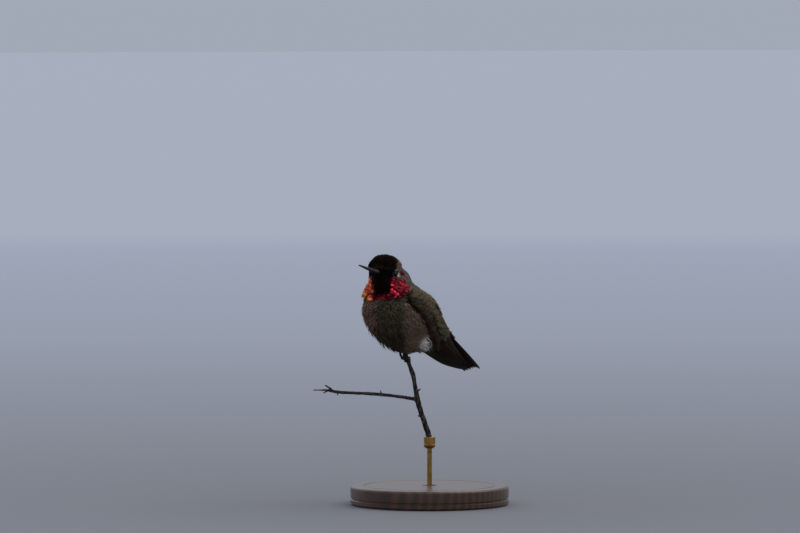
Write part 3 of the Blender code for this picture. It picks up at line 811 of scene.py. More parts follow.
materials = {
    "soft": featherMaterial("soft feather", 0.85, 0.1, 0.02),
    "contour": featherMaterial("contour feather", 0.65, 0.15, 0.02),
    "gorget": featherMaterial("gorget feather", 0.4, 0.15, 0.01, metallic=0.6),
    "mask": featherMaterial("mask feather", 0.8, 0.03, 0.01),
    "vane": featherMaterial("flight feather", 0.6, 0.08, 0.015)}
skin.data.materials.append(materials["soft"])


def clearEyes(lengths, fit):
    # shortens the feathers that reach over an eye, and says which still do
    every = np.arange(len(lengths))
    places, ups = fit(every)
    for _ in range(6):
        grid = places.reshape(len(lengths), stationCount, 3, 3)[:, 1:]
        over = np.zeros(len(lengths), bool)
        for k, centre in enumerate(eyeCentres):
            out = eyeFrame(k)[1]
            away = grid - centre
            along = away @ out
            radial = np.linalg.norm(away - along[..., None] * out, axis=-1)
            over |= ((radial < eyeRadius * 0.86) & (along > -0.6)).any(axis=(1, 2))
        if not over.any():
            break
        lengths[over] *= 0.7
        rows = every[over]
        places[rows], ups[rows] = fit(rows)
    return places, ups, over


def coatLift(tips, depth, draw):
    # how far off the skin each feather's tip stands, in mm
    h = headPlace(tips)
    around, turn, high = throatAngle(h), bodyAngle(tips), tips[:, 2]
    # the bib's lowest plates stand off at its sides; the crown is a little raised; the belly is fluffed out
    overHem = high - np.interp(around, hemTurns, hemHeights)
    sides = ramp(np.abs(around), 18, 40) * (1 - ramp(np.abs(around), 100, 112))
    lift = depth * draw.uniform(0.75, 1.1, len(tips))
    lift = lift * (1 + 0.9 * sides * ramp(overHem, -0.3, 0.3) * (1 - ramp(overHem, 1.6, 3.0)))
    lift = lift + 0.6 * ramp(h[:, 1], 0, 3) * ramp(h[:, 2], 1.5, 4)
    lift = lift + 2.0 * ramp(-high, -4.5, -2.0) * ramp(tips[:, 1], -6, -2)
    below = ramp(-high, -7.5, -4) * (1 - ramp(np.abs(tips[:, 0]), 5, 7.5))
    lift = lift + 0.9 * below * ramp(tips[:, 1], -3, 1) * (1 - ramp(tips[:, 1], 6, 9))
    # full cheeks on the right, a full breast under the bib and full shoulders, but a close nape
    for amount, angle, at, wide, height, rises, falls in (
            (0.55, around, -66, 28, h[:, 2], (-7.5, -6), (3, 5)),
            (0.7, turn, -39, 30, high, (16.5, 19.5), (23.5, 25)),
            (0.5, turn, 141, 30, high, (21.5, 24), (26, 28)),
            (-0.6, around, 116, 26, high, (28, 31), (37, 38.5))):
        lift = lift + amount * bell(angle - at, wide) * ramp(height, *rises) * (1 - ramp(height, *falls))
    # the lower breast lies close, with single feathers that stand out of it
    close = ramp(-high, -17, -12) * ramp(-tips[:, 1], 2, 7)
    return lift + close * np.where(draw.random(len(tips)) < 0.3, 0.2, -0.75)


def makeCoat():
    roots, faces = spreadRoots(featherSpacing, 5)
    draw = np.random.default_rng(6)
    count = len(roots)
    size = featherSpacing(roots) * draw.uniform(0.9, 1.15, count)
    depth = coatDepth(roots)
    low = ramp(-roots[:, 2], -16, -6)
    isBody = ramp(-roots[:, 2], -24.5, -20.5)
    isBack = backShare(roots)
    length = size * (3.1 + 0.5 * isBody + 0.5 * low)
    width = size * (0.88 + 0.05 * isBody)
    sway = draw.normal(0, 0.1, count) * (1 + 0.8 * isBody * (1 - isBack))
    follow = np.clip(0.95 - 0.3 * low * (1 - isBack) - 0.1 * isBody, 0, 1)

    def fit(rows):
        return fitFeathers(roots[rows], faces[rows], length[rows], width[rows], follow[rows], sway[rows])

    places, ups, covered = clearEyes(length, fit)
    # near its end each feather meets the colour of the place that it covers
    tips = places.reshape(count, stationCount, 3, 3)[:, 3, 1]
    lift = coatLift(tips, depth, draw)
    look = plumage(tips)
    glossy = look["gloss"] > 0.5
    # painted glints: each glossy feather is painted at its own brightness, as metallic feathers catch the
    # light singly, those on the throat's right limb the most
    paintedFlash = draw.choice((0.11, 0.32, 0.6, 1.35), count, p=(0.26, 0.32, 0.26, 0.16))
    paintedFlash = paintedFlash * draw.uniform(0.8, 1.2, count)
    paintedFlash = paintedFlash * (1 + 1.1 * ramp(-throatAngle(headPlace(tips)), 20, 34))
    patch = 1 + draw.normal(0, 0.1, count) + 0.14 * speckle(roots, 2.4)
    tone = between(patch[:, None], paintedFlash[:, None], glossy)
    isPale = look["base"].mean(1) > 0.4
    table = {
        "places": places, "ups": ups, "base": look["base"] * tone, "edge": look["edge"] * tone,
        "length": length, "width": width, "lift": lift, "sink": 0.25 * depth, "thick": 0.035 + 0.03 * isBody,
        "roll": draw.normal(0, 0.06, count) * size, "curl": draw.uniform(-0.1, 0.25, count) * depth * isBody,
        "deep": 0.5 + 0.35 * glossy - 0.35 * isPale, "map": skinMap[faces],
        "draw": draw.integers(0, 60, count)}
    isHead = isBody < 0.5
    plates = isHead & ((look["bib"] > 0.5) | glossy)
    mask = isHead & ~plates & (look["black"] > 0.5)
    nape = isHead & ~plates & ~mask
    back = ~isHead & (isBack >= 0.5)
    down = ~isHead & ~back & (roots[:, 2] < 5.5)
    ragged = ~isHead & ~back & ~down & (roots[:, 2] < 15)
    breast = ~isHead & ~back & ~down & ~ragged
    onLeft = roots[:, 0] > 0
    for name, material, slotName, pick, kind in (
            ("coat_mask", "mask", "head_feathers", mask, "scale"),
            ("coat_gorget", "gorget", "head_feathers", plates, "plate"),
            ("coat_nape", "contour", "head_feathers", nape, "scale"),
            ("coat_back", "contour", "body_feathers", back, "contour"),
            ("coat_breast_left", "soft", "body_feathers", breast & onLeft, "soft"),
            ("coat_breast_right", "soft", "body_feathers", breast & ~onLeft, "soft"),
            ("coat_belly_left", "soft", "body_feathers", ragged & onLeft, "ragged"),
            ("coat_belly_right", "soft", "body_feathers", ragged & ~onLeft, "ragged"),
            ("coat_vent", "soft", "body_feathers", down, "down")):
        growCoat(name, materials[material], slotName, pick & ~covered, kind, table)


makeCoat()
print("coat laid")


def glassEye():
    # a dark glass eye under a clear cornea: brown iris, black pupil, one wet highlight
    made, tree = newMaterial("glass eye", {
        "Roughness": 0.1, "IOR": 1.5, "Specular IOR Level": 0.14,
        "Coat Weight": 0.12, "Coat Roughness": 0.02, "Coat IOR": 1.38})
    ring = addNode(tree, "ShaderNodeAttribute", {"attribute_name": "fromPupil"})
    place = addNode(tree, "ShaderNodeTexCoord")
    # 0.3 mm streaks in the iris
    rays = addNode(tree, "ShaderNodeTexNoise", {"Scale": 1 / (0.3 * mm), "Detail": 2.0},
                   {"Vector": place.outputs["Object"]})
    both = addNode(tree, "ShaderNodeMath", {"operation": "MULTIPLY_ADD", 1: 0.12},
                   {0: rays.outputs["Fac"], 2: ring.outputs["Fac"]})
    band = addNode(tree, "ShaderNodeValToRGB", None, {"Fac": both.outputs[0]})
    rampStops(band, [(0.0, "#020202"), (0.34, "#020202"), (0.42, "#1c0f08"), (0.62, "#120a06"),
                     (0.78, "#050404")])
    return wireShader(made, {"Base Color": band.outputs["Color"]})


def lidSkin():
    # bare eyelid skin: dark, matt and finely creased, paler along parts of its rim
    made, tree = newMaterial("eyelid skin", {"Roughness": 0.6, "IOR": 1.4})
    tone = addNode(tree, "ShaderNodeAttribute", {"attribute_name": "plumage"})
    place = addNode(tree, "ShaderNodeTexCoord")
    # 0.15 mm creases, drawn coarser than real ones so that they show
    crease = addNode(tree, "ShaderNodeTexNoise", {"Scale": 1 / (0.15 * mm), "Detail": 3.0},
                     {"Vector": place.outputs["Object"]})
    bump = addNode(tree, "ShaderNodeBump", {"Strength": 0.4, "Distance": 0.03 * mm},
                   {"Height": crease.outputs["Fac"]})
    return wireShader(made, {"Base Color": tone.outputs["Color"], "Normal": bump.outputs[0]})


eyeGlass, eyelid = glassEye(), lidSkin()
# the lid's opening and outer edge in degrees from the eye's axis, and its two tones
eyeSizes = {"opening": 50, "outer": 88, "rings": 64, "palest": "#a89f92", "dark": "#16120f"}
# how high the lid stands over the eye in mm, from its inner edge outward
lidProfile = ((0.0, -0.10), (0.0, 0.05), (0.05, 0.13), (0.13, 0.17), (0.22, 0.15), (0.34, 0.11), (0.5, 0.07),
              (0.75, 0.0), (1.0, -0.12))


def makeEye(k):
    centre, out, ahead, up = eyeFrame(k)
    side = ("left", "right")[k]
    ball, faces = ballPoints((0, 0, 0), (1, 1, 1), 40)
    facing = ball @ out
    bulge = 1 + 0.05 * np.clip((facing - 0.75) / 0.25, 0, 1)**2
    glass = makePiece("eye_glass_" + side, centre + ball * (eyeRadius * bulge)[:, None], faces,
                      eyeGlass, "eye", ("eye_" + side,))
    paint(glass, "fromPupil", np.degrees(np.arccos(np.clip(facing, -1, 1))) / 90)
    s = eyeSizes
    turn = np.arange(s["rings"]) * 2 * math.pi / s["rings"]
    # the opening is a little longer than high, with a corner in front
    wide = s["opening"] * (1 + 0.06 * np.cos(2 * turn) + 0.1 * np.clip(np.cos(turn), 0, 1)**8)
    radial = np.outer(np.cos(turn), ahead) + np.outer(np.sin(turn), up)
    rows = []
    for share, rise in lidProfile:
        angle = np.radians(wide + (s["outer"] - wide) * share)
        # fine folds round the opening
        radius = eyeRadius + rise + 0.012 * np.sin(turn * 16) * (share > 0.02)
        rows.append(centre + out * (np.cos(angle) * radius)[:, None]
                    + radial * (np.sin(angle) * radius)[:, None])
    rows = [centre + out * 0.1 + (rows[0] - centre) * 0.9, *rows, rows[-1] - out * 0.25]
    points = np.vstack(rows)
    quads = loftFaces(len(rows), s["rings"], caps=False)[0]
    first = np.arange(s["rings"])
    last = first + (len(rows) - 1) * s["rings"]
    close = np.stack([last, np.roll(last, -1), np.roll(first, -1), first], -1)
    faces = fixFacing(points, [np.vstack([quads, close[:, ::-1]])])
    lid = makePiece("eyelid_" + side, points, faces, eyelid, "head_feathers")
    # pale broken arcs above, in front and below
    angle = np.tile(np.degrees(turn), len(rows))
    row = np.repeat(np.arange(len(rows)), s["rings"])
    arcs = sum(np.clip((np.cos(np.radians(angle - at)) - limit) * 6, 0, 1)
               for at, limit in ((74, 0.72), (20, 0.86), (294, 0.74)))
    share = np.clip(arcs, 0, 1) * np.isin(row, (4, 5, 6, 7)) * (0.8 + 0.2 * np.sin(np.radians(angle) * 9))
    dark = np.broadcast_to(toLinear(s["dark"]), points.shape)
    paint(lid, "plumage", between(dark, toLinear(s["palest"]), share))


for k in (0, 1):
    makeEye(k)


def billHorn():
    # black horn, worn smooth in patches, with a painted highlight on the ridge at its base
    made, tree = newMaterial("bill horn", {"Roughness": 0.34, "IOR": 1.54})
    tone = addNode(tree, "ShaderNodeAttribute", {"attribute_name": "plumage"})
    place = addNode(tree, "ShaderNodeTexCoord")
    # 0.5 mm patches of wear
    grain = addNode(tree, "ShaderNodeTexNoise", {"Scale": 1 / (0.5 * mm), "Detail": 4.0},
                    {"Vector": place.outputs["Object"]})
    rough = addNode(tree, "ShaderNodeMapRange", {"To Min": 0.26, "To Max": 0.48},
                    {"Value": grain.outputs["Fac"]})
    bump = addNode(tree, "ShaderNodeBump", {"Strength": 0.25, "Distance": 0.02 * mm},
                   {"Height": grain.outputs["Fac"]})
    return wireShader(made, {"Base Color": tone.outputs["Color"], "Roughness": rough.outputs["Result"],
                             "Normal": bump.outputs[0]})


def makeBill():
    rows, sides = 44, 32
    root = billRoot + headUp * 0.35
    run = billTip - root
    ahead = unit(run)
    up = -np.cross(headLeft, ahead)
    share = np.linspace(0, 1, rows)
    radius = 0.72 * (1 - share)**0.8 + 0.27
    turn = np.arange(sides) * 2 * math.pi / sides
    height = np.sin(turn)
    # the two halves meet in a line, the upper one is ridged, and a groove runs forward from each nostril
    gape = 1 - 0.13 * bell(height, 0.16) * (np.abs(np.cos(turn)) > 0.5)
    ridge = 1 + 0.05 * np.clip(height, 0, 1)**4
    rings = []
    for i in range(rows):
        nostril = 1 - 0.16 * bell(share[i] - 0.16, 0.08) * bell(height - 0.55, 0.2)
        r = radius[i] * gape * ridge * nostril
        centre = root + run * share[i]
        rings.append(centre + np.outer(r * 1.08 * np.cos(turn), headLeft) + np.outer(r * height, up))
    tip = billTip + ahead * 0.22
    for s in (0.4, 0.8):
        rings.append(tip + (rings[rows - 1] - tip) * (1 - s))
    points = np.vstack(rings)
    bill = makePiece("bill_horn", points, fixFacing(points, loftFaces(len(rings), sides)),
                     billHorn(), "bill_horn", ("bill",))
    along = np.repeat(np.append(share, (1, 1)), sides)
    high = np.tile(height, len(rings))
    # painted highlight: the top of the bill's base is painted pale pinkish grey
    pale = ramp(high, 0.1, 0.9) * (1 - ramp(along, 0.12, 0.5)) * ramp(along, -0.1, 0.05)
    dark = np.broadcast_to(toLinear("#121013"), points.shape)
    paint(bill, "plumage", between(dark, toLinear("#7d6a70"), pale * 0.7))


makeBill()
print("eyes, lids and bill made")


# flight feathers are closed blades: where their columns lie across, and how thick they are there;
# the shaft is at -0.4
vaneColumns = np.array((-1.0, -0.8, -0.55, -0.44, -0.4, -0.36, -0.15, 0.2, 0.5, 0.75, 0.9, 1.0))
vaneHeight = np.array((0.0, 0.6, 0.7, 0.8, 2.6, 0.8, 0.75, 0.7, 0.6, 0.5, 0.4, 0.0))


class Sheet:
    # a curved face that feathers are laid on: t runs from its root to its tip, s across it
    def __init__(self, grid, outward):
        # the rows are eased into each other
        for _ in range(3):
            grid[1:-1] = grid[1:-1] * 0.5 + (grid[:-2] + grid[2:]) * 0.25
        self.grid = grid
        normals = unit(np.cross(np.gradient(grid, axis=0), np.gradient(grid, axis=1)))
        self.sameHand = (normals @ outward).sum() > 0
        self.normals = normals if self.sameHand else -normals
        self.length = np.linalg.norm(np.diff(grid[:, grid.shape[1] // 2], axis=0), axis=1).sum()
        self.chord = np.linalg.norm(np.diff(grid, axis=1), axis=2).sum(1)

    def look(self, table, t, s):
        # between the table's rows and columns, and straight on past its ends
        t, s = np.asarray(t, float), np.asarray(s, float)
        a, b = t * (len(table) - 1), s * (table.shape[1] - 1)
        i = np.clip(a.astype(int), 0, len(table) - 2)
        j = np.clip(b.astype(int), 0, table.shape[1] - 2)
        fa, fb = (a - i)[..., None], (b - j)[..., None]
        low = table[i, j] * (1 - fb) + table[i, j + 1] * fb
        high = table[i + 1, j] * (1 - fb) + table[i + 1, j + 1] * fb
        return low * (1 - fa) + high * fa

    def point(self, t, s):
        return self.look(self.grid, t, s)

    def normal(self, t, s):
        return unit(self.look(self.normals, np.clip(t, 0, 1), np.clip(s, 0, 1)))

    def breadth(self, t):
        return np.maximum(np.interp(t, np.linspace(0, 1, len(self.chord)), self.chord), 1.5)


def wingSheet(side):
    # the outer face of a folded wing, from its bend to its tip and from its lower to its upper edge
    points, tris = nodePoints("wing_left" if side > 0 else "wing_right")
    tree = BVHTree.FromPolygons(points.tolist(), tris.tolist())
    flat = points[:, 1:]
    along = np.array((0.79, -0.61))
    start, end = flat[np.argmin(flat @ along)], flat[np.argmax(flat @ along)]
    up = unit(np.array((start[1] - end[1], end[0] - start[0])))
    rows = []
    for t in np.linspace(0.012, 0.992, 49):
        spots = [start + (end - start) * t + up * c for c in np.linspace(-14, 14, 141)]
        hits = [tree.ray_cast((40.0 * side, y, z), (-side, 0, 0))[0] for y, z in spots]
        hits = np.array([h[:] for h in hits if h is not None])
        rows.append(curveThrough(hits[np.linspace(0, len(hits) - 1, 9).round().astype(int)], 9))
    return Sheet(np.array(rows), np.array((side, 0.0, 0.0)))


def bladeShape(middle, side, up, lead, trail, thick, seed):
    # one flight feather: a closed blade with a raised shaft, its edge nicked where barbs have parted
    draw = np.random.default_rng(seed)
    rows = len(middle)
    u = np.linspace(0, 1, rows)
    half = np.where(vaneColumns[None] < 0, lead[:, None], trail[:, None])
    half = half * vaneColumns[None]
    for _ in range(4):
        at = draw.uniform(0.4, 0.97)
        half[:, -1] *= 1 - draw.uniform(0.08, 0.22) * bell(u - at, 0.014)
    half[:, -2] = np.minimum(half[:, -2], half[:, -1] * 0.96)
    camber = 0.1 * (1 - vaneColumns**2) * (lead + trail)[:, None] * 0.5
    height = vaneHeight[None] * thick * (1.15 - 0.6 * u[:, None]) / 2
    flat = middle[:, None] + side[:, None] * half[..., None]
    top = flat + up[:, None] * (camber + height)[..., None]
    low = flat + up[:, None] * (camber - np.minimum(height, thick * 0.5))[..., None]
    ring = np.concatenate([top, low[:, -2:0:-1]], axis=1)
    columns = np.concatenate([vaneColumns, vaneColumns[-2:0:-1]])
    points = ring.reshape(-1, 3)
    return {"points": points, "faces": fixFacing(points, loftFaces(rows, ring.shape[1])),
            "u": np.repeat(u, ring.shape[1]), "v": np.tile(columns, rows),
            "below": np.tile(np.arange(len(columns)) >= len(vaneColumns), rows)}


def joinSolids(solids):
    # closed shapes, each with its quads and its triangles, as one
    points, quads = joinShapes([(p, f[0]) for p, f in solids])
    return points, [quads, joinShapes([(p, f[1]) for p, f in solids])[1]]


def joinBlades(name, blades, replaces):
    colour, lines = [], []
    for blade in blades:
        u, v = blade["u"], blade["v"]
        body, lead, trail, tip, under = (toLinear(c) for c in blade["look"])
        tone = np.broadcast_to(body, blade["points"].shape)
        tone = between(tone, lead, ramp(-v, 0.75, 1.0))
        tone = between(tone, trail, ramp(v, 0.8, 1.0))
        tone = between(tone, tip, ramp(u, 0.9, 1.0) * 0.8)
        tone = between(tone, under, 0.8 * blade["below"])
        colour.append(tone * (1 + 0.7 * (np.abs(v + 0.4) < 0.02))[:, None])
        lines.append((u * blade["length"] - np.abs(v + 0.4) * 2.2) * 2 * math.pi / barbGaps["flight"])
    points, faces = joinSolids([(blade["points"], blade["faces"]) for blade in blades])
    piece = makePiece(name, points, faces, materials["vane"], "flight_feathers", replaces)
    paint(piece, "plumage", np.vstack(colour))
    paint(piece, "barbs", np.concatenate(lines))


def widthAlong(u, full, root, blunt):
    # a vane's half breadth: narrow at its root, full to near its rounded tip
    swell = root + (1 - root) * np.sin(np.clip(u / 0.4, 0, 1) * math.pi / 2)
    return full * swell * np.clip(1 - u**blunt, 0, 1)**0.5


def alongFeather(rows):
    # places along a flight feather, closer towards its tip
    u = np.linspace(0, 1, rows)
    return u + 0.12 * np.sin(u * math.pi) * u


# body, leading edge, trailing edge, tip and underside, which is paler and greyer on the wings
flightColours = {
    "primary": ("#21140d", "#463124", "#0f0907", "#2f1f17", "#464839"),
    "secondary": ("#251d13", "#4a3f30", "#130e09", "#30271b", "#4f4c40"),
    # the first secondary's pale leading edge is a painted highlight, a line of sheen along the folded wing
    "sheenLine": ("#251d13", "#85776a", "#130e09", "#4a4034", "#4f4c40"),
    "rectrix": ("#341e17", "#4b3025", "#1d110c", "#3c261d", "#3a231c"),
    "central": ("#24211a", "#38301f", "#14110b", "#2b2418", "#2e2a20"),
    "outer": ("#351e16", "#623a28", "#20130e", "#4a2d20", "#3d241c"),
}
# sizes in mm; places along the wing are shares of its length
wingSizes = {
    "rows": 34, "primaries": 10, "secondaries": 8,
    "thick": 0.1, "step": 0.13, "deepest": -1.0, "armEnd": 0.56,
    # how much of the wing's breadth the primaries show, and how far each of them reaches
    "shareAt": (0.0, 0.45, 0.58, 0.7, 0.85, 1.0), "share": (0.42, 0.46, 0.54, 0.66, 0.9, 1.0),
    "ends": (0.62, 0.67, 0.72, 0.77, 0.82, 0.865, 0.905, 0.945, 0.975, 1.0)}
# the right wing's primaries hang lower and are fanned a little more
wingSides = {
    "left": {"raise": 0.56, "lead": 0.86, "broader": 0.0, "evener": 0.0},
    "right": {"raise": -0.55, "lead": 1.1, "broader": 1.65, "evener": 0.35}}


def wingBlade(face, start, end, line, lead, trail, lift, seed, look):
    # line gives how far up the wing the shaft runs at each place along it
    u = alongFeather(wingSizes["rows"])
    t = start + (end - start) * u
    s = line(t)
    up = face.normal(t, s)
    middle = face.point(t, s)
    side = face.point(t, s + 0.05) - middle
    ahead = unit(np.gradient(middle, axis=0))
    side = unit(side - ahead * (side * ahead).sum(1, keepdims=True))
    up = unit(up - ahead * (up * ahead).sum(1, keepdims=True) - side * (up * side).sum(1, keepdims=True))
    middle = middle + up * lift
    blade = bladeShape(middle, side, up, widthAlong(u, lead, 0.75, 9.0), widthAlong(u, trail, 0.4, 5.0),
                       wingSizes["thick"], seed)
    length = np.linalg.norm(np.diff(middle, axis=0), axis=1).sum()
    return {**blade, "length": length, "look": flightColours[look]}


def makeWing(side):
    name = "left" if side > 0 else "right"
    face = wingSheet(side)
    w, own = wingSizes, wingSides[name]
    blades = []
    for i in range(w["primaries"]):
        # the innermost lies on top, and each shows a strip along its leading edge
        place = (w["primaries"] - 1 - i) / (w["primaries"] - 1)

        def line(t):
            return 0.94 * place * np.interp(t, w["shareAt"], w["share"]) + own["raise"] / face.breadth(t)

        end = w["ends"][i] + own["evener"] * (1 - w["ends"][i])
        trail = 1.9 + 0.08 * i + own["broader"]
        lift = w["deepest"] + w["step"] * (9 - i) * 0.72
        blades.append(wingBlade(face, 0.1 + 0.1 * place, end, line, own["lead"], trail, lift, 200 + i,
                                "primary"))
    for i in range(w["secondaries"]):
        place = i / (w["secondaries"] - 1)

        def line(t):
            low = np.interp(t, w["shareAt"], w["share"])
            return low + (1.0 - low) * (0.04 + 0.9 * place)

        end, lift = 0.93 - 0.34 * place**1.2, -0.2 + 0.05 * i
        blades.append(wingBlade(face, 0.24, end, line, 0.62, 1.5, lift, 260 + i,
                                "secondary" if i else "sheenLine"))
    joinBlades("flight_feathers_" + name, blades, ("wing_" + name,))
    # the arm under the coverts, thick at the bend and thin at its end
    t, s = np.meshgrid(np.linspace(0.0, w["armEnd"], 24), np.linspace(0.03, 1.04, 15), indexing="ij")
    outer = face.point(t, s) - face.normal(t, s) * 0.32
    depth = (3.4 * (1 - ramp(t, 0.08, w["armEnd"])) + 0.12) * np.sin(np.clip(s, 0.02, 0.84) * math.pi)**0.5
    inner = outer - face.normal(t, s) * depth[..., None]
    ring = np.concatenate([outer, inner[:, -2:0:-1]], axis=1)
    points = ring.reshape(-1, 3)
    arm = makePiece("wing_arm_" + name, points, fixFacing(points, loftFaces(len(ring), ring.shape[1])),
                    materials["soft"], "flight_feathers")
    paint(arm, "plumage", np.broadcast_to(toLinear("#29241d"), points.shape))
    paint(arm, "barbs", points @ (3.0, 5.0, 9.0))
    layCoverts("coverts_" + name, face, wingCoverts, 31 + side)


covertColours = {
    "olive": "#50432d", "bronze": "#503e2a", "green": "#434129", "shoulder": "#373320", "edge": "#22130d",
    "rust": "#3c231a", "grey": "#39342a", "rim": "#645440", "pale": "#544131", "glint": "#6f6a2e",
    "under": "#38322a", "white": "#8f8778"}
# rows of coverts: where along and across the wing they start, the feathers' length, width and lift in mm,
# and their colours
wingCoverts = (
    *({"t": 0.44 - 0.05 * i, "s": (0.3, 0.66), "length": 5.4 - 0.35 * i, "width": 0.95, "lift": 0.34,
       "tones": ("grey", "olive"), "rim": "pale"} for i in range(4)),
    *({"t": 0.5 - 0.045 * i, "s": (0.0, 0.2), "length": 6.0 - 0.25 * i, "width": 0.6, "lift": 0.3,
       "tones": ("edge", "rust"), "rim": "pale"} for i in range(11)),
    *({"t": 0.26 - 0.034 * i, "s": (0.22, 0.62), "length": 3.4 - 0.1 * i, "width": 0.85, "lift": 0.42,
       "tones": ("olive", "grey", "bronze"), "rim": "rim"} for i in range(7)),
    *({"t": 0.5 - 0.04 * i, "s": (0.6, 1.06), "length": 5.0 - 0.15 * i, "width": 1.3, "lift": 0.8,
       "tones": ("olive", "bronze", "green"), "rim": "rim"} for i in range(13)),
    *({"t": 0.07 - 0.03 * i, "s": (0.1, 1.0), "length": 2.8, "width": 0.95, "lift": 0.5,
       "tones": ("shoulder", "green"), "rim": "olive"} for i in range(3)),
)


def layCoverts(name, face, rows, seed):
    # rows of small feathers that overlap like tiles, the rows nearest the tip first
    draw = np.random.default_rng(seed)
    cuts = featherKinds["contour"]
    shapes, colour, lines, maps = [], [], [], []
    for number, row in enumerate(rows):
        low, high = row["s"]
        breadth = float(face.breadth(row["t"]))
        count = max(2, round((high - low) * breadth / (row["width"] * 1.05)))
        for k in range(count + 1):
            template, cut = cuts[draw.integers(len(cuts))]
            u, v, w = template.T
            length, width = row["length"] * draw.uniform(0.88, 1.1), row["width"] * draw.uniform(0.95, 1.1)
            t0 = row["t"] + draw.normal(0, 0.006)
            s0 = low + (high - low) * min(1.0, (k + 0.5 * (number % 2)) / count) + draw.normal(0, 0.01)
            t = t0 + length / face.length * u
            s = s0 + v * width / face.breadth(t) + draw.normal(0, 0.015) * u
            rise = -0.3 + row["lift"] * np.clip(u, 0, 1)**0.8 * draw.uniform(0.8, 1.15)
            arch = 0.13 * (1 - v * v) * width * np.sin(np.clip(u, 0, 1) * 2.4)
            rise = rise + arch + 0.05 * w * (1.1 - 0.6 * u)
            made = face.point(t, s) + face.normal(t, s) * (rise + draw.normal(0, 0.04) * v)[:, None]
            shapes.append((made, cut if face.sameHand else cut[:, ::-1]))
            tone = toLinear(covertColours[row["tones"][draw.integers(len(row["tones"]))]])
            tone = tone * draw.uniform(0.88, 1.12)
            rim = toLinear(covertColours[row["rim"]]) * draw.uniform(0.6, 1.1)
            share = ramp(u * (1 - 0.05 * np.abs(v)), 0.84, 1.0) * 0.45 + ramp(np.abs(v), 0.85, 1.0) * 0.2
            # painted shade: each covert is darker towards its root, under the row above
            rootShade = 0.75 + 0.25 * ramp(u, 0.15, 0.65)
            colour.append((tone * (1 - share[:, None]) + rim * share[:, None]) * rootShade[:, None])
            lines.append((u * length - np.abs(v) * width * 0.9) * 2 * math.pi / barbGaps["coat"])
            maps.append(np.stack([0.06 + 0.85 * (t0 + 0.05) + v * 0.5 * featherPatch,
                                  0.06 + 0.8 * s0 + (u - 0.5) * featherPatch], -1))
    piece = makePiece(name, *joinShapes(shapes), materials["contour"], "flight_feathers")
    paint(piece, "plumage", np.vstack(colour))
    paint(piece, "barbs", np.concatenate(lines))
    mapCoat(piece, maps)
    print(" ", name, len(shapes), "feathers")


for side in (1, -1):
    makeWing(side)
print("wings made")


# tail: ten feathers in a shallow arch, with coverts above and below their roots; mm and degrees
tailSizes = {
    "root": (0, 15.2, 13.6), "pitch": -42.0, "length": 30.8, "halfRoot": 3.0, "halfWide": 5.2,
    "arch": 1.2, "count": 10, "vane": 1.65, "thick": 0.12}


def tailPlaces(along, across, height):
    # along from 0 to 1, across from -1 to 1, to places on the tail
    s = tailSizes
    half = s["halfRoot"] + (s["halfWide"] - s["halfRoot"]) * np.sin(np.clip(along * 1.15, 0, 1) * math.pi / 2)
    local = np.stack([half * across, s["length"] * along, -s["arch"] * across**2 * along + height], -1)
    turn = np.array(Euler((math.radians(s["pitch"]), 0, 0)).to_matrix())
    return np.array(s["root"]) + local @ turn.T


def makeTail():
    s = tailSizes
    u = alongFeather(34)
    zero = np.zeros(1)
    above = tailPlaces(zero, zero, np.ones(1))[0] - tailPlaces(zero, zero, zero)[0]
    blades = []
    for k in range(s["count"]):
        across = (2 * k + 1) / s["count"] - 1
        out = abs(across)
        share = 1.0 - 0.01 * (1 - out)**2 - (0.14 if across > 0 else 0.04) * max(out - 0.5, 0)
        middle = tailPlaces(u * share, across * 1.04 + 0 * u, 0.75 - 0.95 * out + 0.7 * across * u)
        ahead = unit(np.gradient(middle, axis=0))
        lean = above + np.array((0.25 * across, 0, 0))
        up = unit(lean - ahead * (ahead @ lean)[:, None])
        side = np.cross(ahead, up)
        side = side * (-1 if (side[0, 0] > 0) == (across > 0) else 1)
        kind = "central" if out < 0.15 else "outer" if out > 0.85 else "rectrix"
        lead = widthAlong(u, s["vane"] * (0.75 if out > 0.5 else 1.0), 0.5, 9.0)
        trail = widthAlong(u, s["vane"] * 1.1, 0.5, 7.0)
        blade = bladeShape(middle, side, up, lead, trail, s["thick"], 300 + k)
        blades.append({**blade, "length": s["length"] * share, "look": flightColours[kind]})
    joinBlades("tail_feathers", blades, ("tail",))
    along, across = np.meshgrid(np.linspace(-0.08, 0.6, 12), np.linspace(-1, 1, 9), indexing="ij")
    # the upper coverts nearest the tip carry a painted glint of yellow-green
    layCoverts("tail_coverts_above", Sheet(tailPlaces(along, across, 1.05 + 0 * along), above),
               [{"t": 0.42 - 0.075 * i, "s": (0.1, 0.9), "length": 5.4 - 0.2 * i, "width": 1.2, "lift": 0.55,
                 "tones": ("olive", "green", "glint" if i < 2 else "bronze"), "rim": "rim"}
                for i in range(6)], 41)
    layCoverts("tail_coverts_below", Sheet(tailPlaces(along, across, -0.75 + 0 * along), -above),
               [{"t": 0.36 - 0.075 * i, "s": (0.12, 0.88), "length": 5.0 - 0.2 * i, "width": 1.2,
                 "lift": 0.55, "tones": ("under", "grey"), "rim": "white"} for i in range(6)], 42)


makeTail()
print("tail made")


